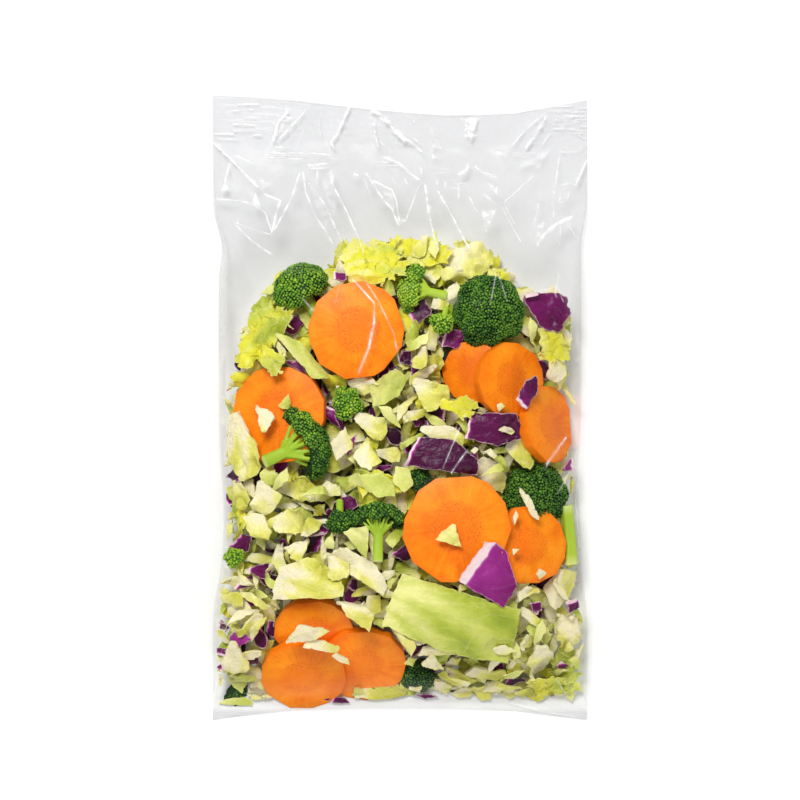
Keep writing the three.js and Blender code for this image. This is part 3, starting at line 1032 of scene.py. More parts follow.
# Share of each kind among the fillers, low in the bag and in its upper end
SHARES = {"cabbage": (0.52, 0.3), "leaf": (0.2, 0.12), "lettuce": (0.06, 0.55), "red_cabbage": (0.19, 0.03)}
SHRED_LAYER = 5  # loose shreds lie just under the pieces of this layer
SHRED_TRIES = 60
SHRED_GAP = 6  # how far in millimetres the middle of a shred keeps from carrots and crowns
UPPER_END = 58 * MM
LOWER_END = -96 * MM
SHALLOW = 9 * MM  # where less than this is left over the back of the bag, pieces lie flat
FLATTENED = 0.2
FILLER_LEAN = 36  # how far in degrees a piece that fills a gap may lean away from the film


def in_filling(pile):
    """Which cells of a pile's grid have filling under them."""
    columns = pile.low_x + (np.arange(pile.shape[0]) + 0.5) * CELL
    rows = pile.flip[1][1] * (pile.low_y + (np.arange(pile.shape[1]) + 0.5) * CELL)
    stations = np.array(TOP_OF_FILLING) * MM
    top = np.interp(columns, stations[:, 0], stations[:, 1])
    between = (columns[:, None] > pile.reach[:, 0]) & (columns[:, None] < pile.reach[:, 1])
    return pile.inside & between & (rows[None] < top[:, None]) & (rows[None] > BOTTOM_LIMIT)


def clear_of_rounds(pile):
    """The filling's cells that lie over no carrot slice and no broccoli crown."""
    region = in_filling(pile)
    x = pile.low_x + (np.arange(pile.shape[0]) + 0.5) * CELL
    y = pile.low_y + (np.arange(pile.shape[1]) + 0.5) * CELL
    for _, middle_x, middle_y, radius, *_ in CARROT_SLICES + FLORETS:
        away = np.hypot(x[:, None] - middle_x * MM, y[None] - middle_y * MM)
        region &= away > (radius + SHRED_GAP) * MM
    return region


def in_lower_end(pile):
    """The filling's cells near the bottom seal, where the pieces are pressed close together."""
    rows = pile.flip[1][1] * (pile.low_y + (np.arange(pile.shape[1]) + 0.5) * CELL)
    return in_filling(pile) & (rows[None] < LOWER_END)


def add_fillers(pile, placed, masters, layers, tries, draw, region=None):
    """Adds pieces wherever fewer than this many pieces lie over each other."""
    if region is None:
        region = in_filling(pile)
    thicknesses = sheet_thicknesses()
    for _ in range(tries):
        thin = np.argwhere(region & (pile.cover < layers))
        if len(thin) < 12:
            return
        column, row = thin[draw.randrange(len(thin))]
        x = pile.low_x + (column + 0.5) * CELL
        y = pile.low_y + (row + 0.5) * CELL
        upper = pile.flip[1][1] * y > UPPER_END
        kinds = sorted({master[0] for master in masters})
        kind = draw.choices(kinds, [SHARES[name][upper] for name in kinds])[0]
        mesh = draw.choice([master[2] for master in masters if master[0] == kind]).copy()
        flat = pile.limit[column, row] - pile.floor[column, row] < SHALLOW
        settled = pile.settle(
            [mesh],
            x,
            y,
            draw.uniform(0, 360),
            lean=(0 if flat else draw.uniform(0, FILLER_LEAN), draw.uniform(0, 360)),
            flatten=FLATTENED if flat else 1.0,
            softness=SHEET_FORMS[kind][5],
            thickness=thicknesses[kind],
        )
        if not settled:
            bpy.data.meshes.remove(mesh)
            region[column, row] = False
            continue
        lowest = {"cabbage": -0.3, "leaf": -0.35, "lettuce": -0.25, "red_cabbage": -0.6}[kind]
        shift_tone(mesh, draw.uniform(lowest, 0.25 if kind != "red_cabbage" else 0))
        placed[kind + "_filler"].append(mesh)


def sheet_thicknesses():
    settings = bpy.context.scene.vegetable_bag
    return {
        "cabbage": settings.cabbage_thickness,
        "leaf": settings.leaf_thickness,
        "lettuce": settings.lettuce_thickness,
        "red_cabbage": settings.red_cabbage_thickness,
    }


CARROT_CLEAR = 4.5 * MM
FLORET_CLEAR = 4 * MM
LYING_BELOW = 4  # a crown whose axis rises less than this many degrees lies on its side


def crown_axis(azimuth, elevation):
    azimuth, elevation = math.radians(azimuth), math.radians(elevation)
    level = math.cos(elevation)
    aim = Vector((level * math.cos(azimuth), level * math.sin(azimuth), math.sin(elevation)))
    return UP.rotation_difference(aim).to_matrix()


DEPTH_OF_FIRST = 0.6 * MM
DEPTH_OF_LAYER = 1.6 * MM


def place_named(pile, placed, shreds, draw):
    """Places every piece of the tables, the nearest to the film first, with shreds among them."""
    thicknesses = sheet_thicknesses()
    jobs = [(entry[0], place_carrot, entry[1:]) for entry in CARROT_SLICES]
    jobs += [(entry[0], place_floret, entry[1:]) for entry in FLORETS]
    jobs += [(entry[0], place_stalk, entry[1:]) for entry in CUT_STALKS]
    jobs += [(entry[1], place_sheet, (entry[0], *entry[2:])) for entry in SHEETS]
    jobs.append((SHRED_LAYER + 0.5, None, ()))
    for layer, place, entry in sorted(jobs, key=lambda job: job[0]):
        if place:
            place(pile, placed, entry, draw, DEPTH_OF_FIRST + (layer - 1) * DEPTH_OF_LAYER)
        else:
            add_fillers(pile, placed, shreds, 1, SHRED_TRIES, draw, clear_of_rounds(pile))


def place_carrot(pile, placed, entry, draw, deepest):
    x, y, radius, lean, towards = entry
    mesh = carrot_slice(radius, draw)
    turn = draw.uniform(0, 360)
    pile.settle(
        [mesh], x * MM, y * MM, turn, lean=(lean, towards), level=True, thickness=CARROT_CLEAR, deepest=deepest
    )
    placed["carrot"].append(mesh)


def place_floret(pile, placed, entry, draw, deepest):
    x, y, radius, azimuth, elevation, length, tone = entry
    lying = elevation < LYING_BELOW
    buds, stalk = floret(radius, length, tone, lying, draw)
    axis = crown_axis(azimuth, elevation)
    flatten = 0.62 if lying else 0.8
    turn = draw.uniform(0, 360)
    pile.settle(
        [buds, stalk], x * MM, y * MM, turn, axis=axis, flatten=flatten, thickness=FLORET_CLEAR, deepest=deepest
    )
    placed["buds"].append(buds)
    placed["stalk"].append(stalk)


def place_stalk(pile, placed, entry, draw, deepest):
    x, y, length, radius, turn = entry
    mesh = cut_stalk(length, radius)
    pile.settle([mesh], x * MM, y * MM, turn, thickness=FLORET_CLEAR, deepest=deepest)
    placed["stalk"].append(mesh)


def place_sheet(pile, placed, entry, draw, deepest):
    kind, x, y, length, width, turn, cut, tone = entry
    mesh = sheet(kind, length, width, cut, tone, draw)
    softness = SHEET_FORMS[kind][5] if max(length, width) < 30 else 0.85
    leaning = SHEET_FORMS[kind][7] * (max(length, width) < 30)
    lean = (draw.uniform(0, leaning), draw.uniform(0, 360))
    thickness = sheet_thicknesses()[kind]
    pile.settle(
        [mesh], x * MM, y * MM, turn, lean=lean, softness=softness, thickness=thickness, deepest=deepest
    )
    placed[kind].append(mesh)


FINGER = 0.25 * MM  # how far every piece stays inside the film
LOWEST = 0.1 * MM  # lowest that the underside of a sheet may reach


def tuck_inside(mesh):
    """Moves any vertex that reaches the film back inside it."""
    tree = film_tree()
    points = points_of(mesh)
    for number, point in enumerate(points):
        found, normal, _, distance = tree.find_nearest(Vector(point))
        if (Vector(point) - found).dot(normal) > -FINGER:
            points[number] = found - normal * FINGER
    set_points(mesh, points)


@functools.cache
def packed_filling():
    """Every piece of the filling in its place, by kind, and the two piles for the core."""
    draw = random.Random(11)
    kinds = ["carrot", "buds", "stalk"]
    kinds += list(SHEET_FORMS) + [kind + "_filler" for kind in SHEET_FORMS]
    placed = {kind: [] for kind in kinds}
    masters, shreds = (
        [(kind, length, sheet(kind, length, width, cut, 0.7, draw, coarse=1.35)) for kind, length, width, cut in table]
        for table in (FILLERS, SHREDS)
    )
    scraps = [master for master in masters if master[1] < LONGEST_SCRAP]
    upper = Pile(Matrix.Identity(4), 5)
    place_named(upper, placed, shreds, draw)
    for layers, tries in ((1, 900), (2, 700), (3, 450)):
        add_fillers(upper, placed, masters, layers, tries, draw)
    for layers in (1, 2):
        add_fillers(upper, placed, scraps, layers, 600, draw)
    add_fillers(upper, placed, masters, 3, 200, draw, in_lower_end(upper))
    for kind, layer, *entry in BACKING:
        deepest = DEPTH_OF_FIRST + (layer - 1) * DEPTH_OF_LAYER
        place_sheet(upper, placed, (kind, *entry), draw, deepest)
    under = Pile(Matrix.Rotation(math.pi, 4, "X"), 6)
    under.floor = np.maximum(under.floor, -upper.limit[:, ::-1])
    for layers in (1, 2):
        add_fillers(under, placed, masters, layers, 420, draw)
    add_fillers(under, placed, scraps, 1, 300, draw)
    for mesh in sum(placed.values(), []):
        tuck_inside(mesh)
    return placed, upper, under


def sheet_piece(kind, name, material):
    """Joins one kind's sheets and gives them their thickness, the most at their base."""
    placed = packed_filling()[0]
    piece = join_meshes(placed[kind] + placed[kind + "_filler"], name)
    solid = {"thickness": sheet_thicknesses()[kind], "offset": -1, "use_even_offset": False}
    solid |= {"vertex_group": "thick", "thickness_vertex_group": 0.35}
    apply_modifier(piece, "SOLIDIFY", **solid)
    piece.vertex_groups.clear()
    edit_all(piece)
    bpy.ops.mesh.delete_loose(use_verts=True, use_edges=True, use_faces=False)
    end_edit()
    points = points_of(piece.data)
    points[:, 2] = np.maximum(points[:, 2], LOWEST)
    set_points(piece.data, points)
    return finished_piece(piece, name, material)


def finished_piece(piece, name, material, angle=50):
    """Names a piece, gives it its material and shading, and makes it ride on the bag's body."""
    piece.name = name
    piece.data.name = name
    piece.data.materials.clear()
    piece.data.materials.append(material)
    make_active(piece)
    bpy.ops.object.shade_smooth_by_angle(angle=math.radians(angle))
    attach(piece, "root")
    return piece


# ---------------------------------------------------------------------------------------------
# Core and film
# ---------------------------------------------------------------------------------------------

CORE_CELL = 3 * MM
CORE_THINNEST = 1.5 * MM
CORE_SHARE = 0.42  # share of the bag's depth that lies over the core where the bag is thin


def without_corner_contacts(kept):
    """Drops cells that touch another only at a corner, so that no edge has four faces."""
    for _ in range(6):
        rising = kept[:-1, :-1] & kept[1:, 1:] & ~kept[1:, :-1] & ~kept[:-1, 1:]
        falling = kept[1:, :-1] & kept[:-1, 1:] & ~kept[:-1, :-1] & ~kept[1:, 1:]
        kept[:-1, :-1] &= ~rising
        kept[1:, :-1] &= ~falling
    return kept


def core_piece():
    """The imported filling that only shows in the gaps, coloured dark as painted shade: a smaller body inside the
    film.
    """
    _, upper, under = packed_filling()
    full = upper.wall - upper.floor
    depth = np.minimum(CORE_DEPTH, CORE_SHARE * full)
    top = np.minimum(upper.wall - depth, shrunk(upper.limit, 1))
    base = np.minimum(under.wall - 0.75 * depth[:, ::-1], shrunk(under.limit, 1))
    top, base = blurred(top, 2), -blurred(base, 2)[:, ::-1]
    inner = in_filling(upper)
    room = shrunk(np.where(inner & (top - base > CORE_THINNEST), 1.0, 0.0), 2)
    columns, rows = round(176 * MM / CORE_CELL), round(292 * MM / CORE_CELL)
    deselect_all()
    bpy.ops.mesh.primitive_grid_add(x_subdivisions=columns, y_subdivisions=rows, size=1)
    piece = bpy.context.object
    edit_all(piece)
    bpy.ops.transform.resize(value=(columns * CORE_CELL, rows * CORE_CELL, 1))
    end_edit()
    centres = np.array([face.center for face in piece.data.polygons])
    across, along = ((centres[:, :2] - centres[:, :2].min(axis=0)) / CORE_CELL).round().astype(int).T
    kept = np.zeros((across.max() + 1, along.max() + 1), bool)
    kept[across, along] = room[upper.cells(centres)] > 0.5
    delete_faces(piece, ~without_corner_contacts(kept)[across, along])
    edit_all(piece)
    bpy.ops.mesh.extrude_region_move(TRANSFORM_OT_translate={"value": (0, 0, 10 * MM)})
    bpy.ops.mesh.select_all(action="SELECT")
    bpy.ops.mesh.normals_make_consistent(inside=False)
    end_edit()
    points = points_of(piece.data)
    columns, rows = upper.cells(points)
    above = points[:, 2] > 5 * MM
    points[:, 2] = np.where(above, top[columns, rows], base[columns, rows])
    points[:, 2] += np.where(above, -0.2 * MM, 0.2 * MM)
    set_points(piece.data, points)
    return piece


# Creases in the film, each a chain of points: width, brightness of its painted highlight, then x and y of every point.
# Each is raised as a low ridge and painted white as a highlight where a real crease would mirror the lights.
CREASES = [
    (1.9, 0.95, (-90, 127.5), (-81, 119), (-67.5, 105)),
    (0.9, 0.35, (-78, 121), (-70, 117)),
    (1.0, 0.8, (-81.5, 117), (-83.5, 110), (-84, 106)),
    (0.9, 0.75, (-88, 100), (-76, 98.7), (-70, 97), (-64, 92.8), (-60.5, 82.5)),
    (1.2, 0.7, (-64.5, 102), (-57, 98.7)),
    (1.7, 0.85, (-57, 98.5), (-59, 92), (-60.3, 84)),
    (1.2, 0.9, (-48, 112), (-51.6, 100), (-59.5, 84)),
    (2.4, 0.9, (-54, 141.8), (-58.5, 137), (-60.6, 128)),
    (1.0, 0.85, (-44.5, 143.5), (-48.7, 138.5), (-59.3, 127.3)),
    (0.7, 0.35, (-39, 143), (-38, 129.5)),
    (0.7, 0.4, (-46, 134), (-48.5, 125)),
    (1.3, 0.95, (-24.3, 144), (-30.5, 130.5), (-33.2, 127.6), (-31.4, 123.6)),
    (1.6, 0.6, (-46.3, 112.5), (-45, 103), (-41, 93), (-32, 78)),
    (1.8, 0.55, (-43.3, 107), (-35.6, 96.5), (-27.3, 78.5)),
    (1.5, 0.6, (-39.5, 113), (-39.5, 107)),
    (2.6, 0.7, (-33, 113), (-32.5, 107.5)),
    (1.1, 0.95, (-32.8, 107.5), (-27.3, 97.5), (-19, 79), (-17, 73)),
    (1.5, 0.8, (-22.6, 112.5), (-20.2, 111)),
    (0.9, 0.4, (-16.6, 108.5), (-14.2, 101)),
    (1.6, 0.85, (-16, 112), (-9.5, 101.5), (-3.6, 94), (-0.4, 86)),
    (1.1, 0.75, (-12.5, 108.5), (-3.8, 104), (-1.8, 98.5), (0, 86.5)),
    (0.8, 0.5, (-3.6, 109.5), (-0.5, 105.5)),
    (3.4, 0.85, (-13, 142.5), (-6, 137), (2, 128)),
    (1.1, 0.8, (2, 129.5), (6, 126.5), (12, 121.3)),
    (0.8, 0.6, (5.5, 130.5), (12, 124.5)),
    (1.6, 0.7, (-12.6, 137.5), (-12, 131), (-10.5, 124.5)),
    (0.9, 0.6, (-9.6, 128), (-4.7, 122.3)),
    (1.2, 0.7, (-8, 120), (0, 117), (5, 112), (9, 109)),
    (1.8, 0.6, (9.6, 116), (10.4, 112)),
    (0.7, 0.4, (14.2, 136), (19.6, 124)),
    (1.4, 0.55, (15.2, 124), (16.4, 119.5)),
    (1.0, 0.5, (4.7, 140), (7.3, 136.7)),
    (1.0, 0.55, (2, 109.5), (3.5, 107)),
    (1.2, 0.95, (12, 106), (13.9, 91), (16.2, 80), (18, 75)),
    (0.8, 0.65, (9, 106), (2.3, 87.5)),
    (1.4, 0.9, (18.2, 103), (23.7, 92.8), (31, 78), (33, 75)),
    (1.0, 0.55, (17.8, 109), (17.6, 105.5)),
    (1.0, 0.55, (21.3, 109), (21.6, 105)),
    (0.9, 0.55, (28, 106), (27.8, 100.5)),
    (1.2, 0.65, (32, 102.5), (36.8, 92.8)),
    (2.2, 0.7, (32.6, 117.5), (31.6, 113.6), (28.4, 111.6)),
    (1.0, 0.55, (36, 115.5), (40, 112.5), (45.8, 110.6)),
    (0.8, 0.5, (39.2, 103), (44.5, 98), (47.5, 97)),
    (0.8, 0.65, (48, 96.5), (57, 104.7), (64.7, 111.8)),
    (0.8, 0.75, (48.5, 95), (57, 78.6)),
    (0.7, 0.5, (50.5, 95), (58.5, 79)),
    (2.2, 0.3, (67, 103), (64.7, 91), (60.5, 78)),
    (0.8, 0.75, (69, 141), (59.3, 132.6), (51, 122.5)),
    (1.7, 0.8, (70, 139.6), (65.3, 131.4), (60.5, 124.6)),
    (1.1, 0.5, (71.8, 131.5), (68.2, 126)),
    (2.4, 0.6, (46, 123), (49, 121.5)),
    (1.4, 0.6, (77.6, 122.6), (85, 122.9), (89, 126)),
    (0.9, 0.5, (83, 132.8), (88.4, 129)),
    (1.3, 0.95, (89.6, 118.5), (83.7, 106.5)),
    (1.2, 0.5, (76.2, 120), (74.8, 109.4), (73.6, 102), (73, 91)),
    (0.9, 0.65, (76.6, 106.3), (82.6, 107.8)),
    (0.8, 0.6, (76.6, 105.5), (76, 97.5), (80, 99.9), (81.3, 104.5)),
    (2.2, 0.9, (81.8, 91), (74.2, 87.5), (68.2, 82.2), (65, 77)),
    (0.9, 0.5, (76.4, 87), (75.4, 78)),
    (0.9, 0.5, (80, 87.5), (83.2, 82)),
    (1.0, 0.7, (-79, 88), (-70, 79), (-60, 72)),
    (0.8, 0.5, (-78, 88), (-70, 85), (-61, 82)),
    (0.7, 0.4, (-80, 80), (-80, 72)),
    (1.0, 0.85, (-22, 60), (-12, 49), (-12, 38), (-14, 30)),
    (1.7, 0.9, (-12, 40), (-14.5, 28), (-19, 17)),
    (0.7, 0.55, (-18, 62), (-10, 50), (-3, 35), (0, 20)),
    (0.7, 0.35, (-28, 58), (-30, 50)),
    (0.7, 0.45, (-46, 52), (-41, 46)),
    (0.6, 0.5, (45, 63), (42, 48)),
    (0.6, 0.5, (46, 63), (50, 50)),
    (0.9, 0.5, (75, 63), (73, 54)),
    (0.6, 0.5, (61, 54), (74, 57), (77, 50)),
    (0.6, 0.6, (30, -4), (20, -28)),
    (0.9, 0.6, (31, -20), (24, -30)),
    (1.6, 0.75, (78, -14), (69, -26)),
    (0.7, 0.5, (80, -30), (74, -40)),
    (0.8, 0.45, (86, -20), (83, -44), (85, -66)),
    (0.8, 0.4, (-85, -30), (-84, -60), (-86, -84)),
    (0.7, 0.4, (-60, -147), (-30, -146), (-12, -148)),
    (0.9, 0.5, (52, -141), (70, -146), (84, -148)),
    (0.8, 0.5, (74, -128), (80, -138), (86, -142)),
]

# Short parallel creases across the seals, painted white as highlights: x of both ends, y of the first, count, step,
# brightness
HATCHES = [
    (-79, -69, 145.6, 5, -3.2, 0.75),
    (-89, -78, 131.5, 2, -2.6, 0.5),
    (-69.5, -66, 130.8, 1, 0, 0.75),
    (-62, -54, 124.6, 3, -2.4, 0.55),
    (-55, -46, 122.3, 2, -3, 0.4),
    (-38.5, -33, 121.8, 3, -2.7, 0.65),
    (-44, -37, 116, 2, -1.6, 0.5),
    (-9.5, -3.6, 119.8, 3, -1.9, 0.55),
    (-4.7, 0, 113.6, 1, 0, 0.6),
    (13, 24, 114.5, 3, -2.3, 0.25),
    (25, 31, 109, 3, -2.1, 0.35),
    (51, 64, 121.8, 3, -1.6, 0.35),
    (72, 83, 144.4, 6, -2.1, 0.55),
    (83, 89, 143.6, 8, -1.7, 0.5),
]

# Painted highlights on flat facets between creases, where a real facet would mirror the lights: three corners and
# brightness
GLINT_FACETS = [
    ((-83.5, 109), (-81.5, 104), (-86.5, 103.5), 0.8),
    ((-67.5, 110), (-60.5, 107), (-66, 103), 0.75),
    ((-69, 103.5), (-65.5, 95), (-71, 97.5), 0.75),
    ((28.5, 139.3), (38, 139.3), (34.1, 125.2), 0.85),
    ((38, 94), (46.3, 94.8), (40.3, 81), 0.75),
    ((39.8, 109.6), (47.5, 106), (46.5, 99.5), 0.5),
    ((73, 108), (82, 104), (78, 92), 0.22),
    ((14, 136), (19.6, 123.7), (14.5, 123), 0.3),
    ((52, 115), (74, 125.5), (67, 114.5), 0.3),
    ((60, 84), (70, 90), (65, 76), 0.4),
    ((-40, 112), (-30, 107), (-30, 84), 0.22),
    ((-45, 104), (-34, 96), (-33, 80), 0.22),
    ((-10, 104), (-3, 103), (-1.5, 90), 0.35),
    ((74, 143), (84, 140), (77, 131), 0.35),
    ((-55, 141), (-51, 139), (-60, 129), 0.45),
]
RIDGE_HEIGHT = 0.4 * MM
# Length over which the painted shadow along the bottom seal fades in
SEAL_SHADOW_FADE = 2 * MM
DRAWN_PAST = 7 * MM  # how far past the filling's upper end the film is still drawn tight
LOOSE_FADE = 14 * MM  # length over which the film turns from drawn tight over the filling to loose
# How far past a crease, in millimetres, the film's faces are made finer, once for each number
FINE_MARGINS = (1.6, 0.6, 0.1)


@functools.cache
def crease_lines():
    """Every straight stretch of the creases: both ends, width and brightness of its painted highlight."""
    lines = []
    for width, brightness, *chain in CREASES:
        for here, there in zip(chain, chain[1:]):
            lines.append((*here, *there, width, brightness))
    for left, right, y, count, step, brightness in HATCHES:
        for number in range(count):
            shift = 2.2 * math.sin(number * 2.4 + left)
            rise = 0.5 * math.sin(number * 1.7 + right)
            lines.append((left + shift, y + number * step, right + shift, y + number * step + rise, 0.9, brightness))
    return lines


def line_strength(places, line):
    """How strongly a crease marks each place: 1 on its middle, fading across it and at its ends."""
    x0, y0, x1, y1, width, brightness = line
    start, along = np.array([x0, y0]), np.array([x1 - x0, y1 - y0])
    share = (places - start) @ along / (along @ along)
    held = np.clip(share, 0, 1)
    away = np.linalg.norm(places - start - held[:, None] * along, axis=1)
    swell = 0.7 + 0.3 * np.sin(math.pi * held)
    return brightness * np.exp(-((away / (0.42 * width * swell)) ** 2))


def facet_glint(places, facet):
    """Painted highlight inside a facet, strongest along its first edge."""
    first, second, third = (np.array(corner) for corner in facet[:3])
    corners = [first, second, third]
    inside = np.full(len(places), np.inf)
    middle = (first + second + third) / 3
    for here, there in zip(corners, corners[1:] + corners[:1]):
        normal = np.array([here[1] - there[1], there[0] - here[0]]) / np.linalg.norm(there - here)
        if (middle - here) @ normal < 0:
            normal = -normal
        inside = np.minimum(inside, (places - here) @ normal)
    return facet[3] * ease(inside / 1.8 + 0.25)


def crease_ridges_and_glints(places, wider=0.0):
    """Strength of the creases at each place, from 0 to 1: it sets their ridge height and their painted highlight.

    With wider, in millimetres, every crease is full strength and reaches that much further out.
    """
    marks = np.zeros(len(places))
    for line in crease_lines():
        reach = 2.5 * (line[4] + wider)
        low = np.minimum(line[:2], line[2:4]) - reach
        high = np.maximum(line[:2], line[2:4]) + reach
        near = ((places > low) & (places < high)).all(axis=1)
        line = (*line[:4], line[4] + wider, 1 if wider else line[5])
        marks[near] = np.maximum(marks[near], line_strength(places[near], line))
    return marks


def facet_glints(places):
    """Brightness of the painted facet highlights at each place, from 0 to 1."""
    return np.maximum.reduce([facet_glint(places, facet) for facet in GLINT_FACETS])


def film_piece():
    """The clear film: the bag's closed skin with fine creases raised over it, painted highlights on its creases and
    facets, and a painted shadow along the bottom seal.
    """
    piece = show_mesh(film_base().copy(), "film")
    mesh = piece.data
    for margin in FINE_MARGINS:
        places = np.array([face.center[:2] for face in mesh.polygons]) / MM
        facing = np.array([face.normal.z for face in mesh.polygons])
        near = crease_ridges_and_glints(places, margin) > 0.1
        if margin > FINE_MARGINS[-1]:
            near |= facet_glints(places) > 0.02
        near &= facing > 0.2
        make_active(piece)
        bpy.ops.object.mode_set(mode="EDIT")
        bpy.ops.mesh.select_mode(type="FACE")
        bpy.ops.mesh.select_all(action="DESELECT")
        end_edit()
        mesh.polygons.foreach_set("select", near)
        bpy.ops.object.mode_set(mode="EDIT")
        bpy.ops.mesh.subdivide(number_cuts=1)
        end_edit()
    points = points_of(mesh)
    normals = np.zeros(len(mesh.vertices) * 3)
    mesh.vertices.foreach_get("normal", normals)
    facing = normals.reshape(-1, 3)[:, 2]
    creases = crease_ridges_and_glints(points[:, :2] / MM) * ease(facing * 2)
    # marks is the painted highlight of the creases and facets, kept to where the film faces up.
    marks = np.maximum(creases, facet_glints(points[:, :2] / MM) * ease(facing * 2))
    points[:, 2] += RIDGE_HEIGHT * creases
    set_points(mesh, points)
    stations = np.array(TOP_OF_FILLING) * MM
    past = points[:, 1] - np.interp(points[:, 0], stations[:, 0], stations[:, 1]) - DRAWN_PAST
    set_attribute(mesh, "crease", marks)
    # Past the filling's lower end the film is greyed like its loose part, as a painted shadow under the bag's bottom
    # edge.
    below = BOTTOM_LIMIT - points[:, 1]
    loose = np.maximum(ease(past / LOOSE_FADE + 0.5), ease(below / SEAL_SHADOW_FADE + 0.5))
    set_attribute(mesh, "loose", loose)
    return piece


# ---------------------------------------------------------------------------------------------
# Materials
# ---------------------------------------------------------------------------------------------

MIX_FACTOR, MIX_A, MIX_B, MIX_RESULT = 0, 6, 7, 2  # sockets of a colour Mix node


def new_material(name):
    material = bpy.data.materials.new(name)
    material.use_nodes = True
    tree = material.node_tree
    return material, tree, tree.nodes["Principled BSDF"]


def set_inputs(node, values):
    """Sets or links each named input: an output socket is linked and anything else is a value."""
    for name, value in values.items():
        if isinstance(value, bpy.types.NodeSocket):
            node.id_data.links.new(value, node.inputs[name])
        else:
            node.inputs[name].default_value = value


def add_node(tree, kind, inputs=(), **settings):
    node = tree.nodes.new("ShaderNode" + kind)
    for name, value in settings.items():
        setattr(node, name, value)
    set_inputs(node, dict(inputs))
    return node


def attribute(tree, name):
    return add_node(tree, "Attribute", attribute_name=name, attribute_type="GEOMETRY").outputs["Fac"]


def calculate(tree, operation, *values, clamp=False):
    inputs = dict(enumerate(values))
    return add_node(tree, "Math", inputs, operation=operation, use_clamp=clamp).outputs[0]


def remap(tree, value, low, high, to_low=0.0, to_high=1.0):
    inputs = {"Value": value, 1: low, 2: high, 3: to_low, 4: to_high}
    return add_node(tree, "MapRange", inputs, interpolation_type="SMOOTHSTEP").outputs[0]


def mix(tree, factor, first, second):
    inputs = {MIX_FACTOR: factor, MIX_A: first, MIX_B: second}
    return add_node(tree, "Mix", inputs, data_type="RGBA").outputs[MIX_RESULT]


def ramp(tree, value, stops):
    node = add_node(tree, "ValToRGB", {"Fac": value})
    elements = node.color_ramp.elements
    while len(elements) < len(stops):
        elements.new(0.5)
    for element, (place, colour) in zip(elements, stops):
        element.position = place
        element.color = (*colour, 1)
    return node.outputs["Color"]


def opaque(colour):
    return (*colour, 1)


def new_group(name, inputs, outputs):
    """A shader node group with named number or vector inputs and outputs."""
    tree = bpy.data.node_groups.new(name, "ShaderNodeTree")
    for label, (kind, value) in inputs.items():
        socket = tree.interface.new_socket(label, in_out="INPUT", socket_type=kind)
        if value is not None:
            socket.default_value = value
    for label, kind in outputs.items():
        tree.interface.new_socket(label, in_out="OUTPUT", socket_type=kind)
    return tree, tree.nodes.new("NodeGroupInput"), tree.nodes.new("NodeGroupOutput")


def use_group(tree, group, inputs):
    node = tree.nodes.new("ShaderNodeGroup")
    node.node_tree = group
    set_inputs(node, inputs)
    return node


@functools.cache
def vein_group():
    """A leaf's branching veins: a mask that is 1 on a vein, over the leaf's own UV map."""
    inputs = {"Scale": ("NodeSocketFloat", 2.2), "Width": ("NodeSocketFloat", 0.05)}
    tree, given, result = new_group("leaf_veins", inputs, {"Mask": "NodeSocketFloat"})
    place = add_node(tree, "UVMap", uv_map="leaf").outputs[0]
    wander = add_node(tree, "TexNoise", {"Vector": place, "Scale": 2.5, "Detail": 2})
    wandered = {0: wander.outputs["Color"], 1: (0.22, 0.22, 0), 2: place}
    shifted = add_node(tree, "VectorMath", wandered, operation="MULTIPLY_ADD")
    stretched = add_node(tree, "Mapping", {"Vector": shifted.outputs[0], "Scale": (0.5, 1.25, 1)})
    masks = []
    for share in (1, 2.6):
        size = calculate(tree, "MULTIPLY", given.outputs["Scale"], share)
        cells = add_node(
            tree,
            "TexVoronoi",
            {"Vector": stretched.outputs[0], "Scale": size},
            feature="DISTANCE_TO_EDGE",
            voronoi_dimensions="2D",
        )
        line = remap(tree, cells.outputs["Distance"], given.outputs["Width"], 0.0)
        masks.append(calculate(tree, "MULTIPLY", line, 1.0 if share == 1 else 0.45))
    strongest = calculate(tree, "MAXIMUM", *masks)
    tree.links.new(strongest, result.inputs["Mask"])
    return tree


@functools.cache
def mottle_group():
    """Soft patches and fine grain, both around a half, on the piece's own place."""
    inputs = {"Patch scale": ("NodeSocketFloat", 90.0), "Grain scale": ("NodeSocketFloat", 900.0)}
    outputs = {"Patches": "NodeSocketFloat", "Grain": "NodeSocketFloat"}
    tree, given, result = new_group("mottle", inputs, outputs)
    place = add_node(tree, "TexCoord").outputs["Object"]
    patches = add_node(tree, "TexNoise", {"Vector": place, "Detail": 3, "Roughness": 0.55})
    tree.links.new(given.outputs["Patch scale"], patches.inputs["Scale"])
    grain = add_node(tree, "TexNoise", {"Vector": place, "Detail": 2, "Roughness": 0.6})
    tree.links.new(given.outputs["Grain scale"], grain.inputs["Scale"])
    tree.links.new(patches.outputs["Fac"], result.inputs["Patches"])
    tree.links.new(grain.outputs["Fac"], result.inputs["Grain"])
    return tree


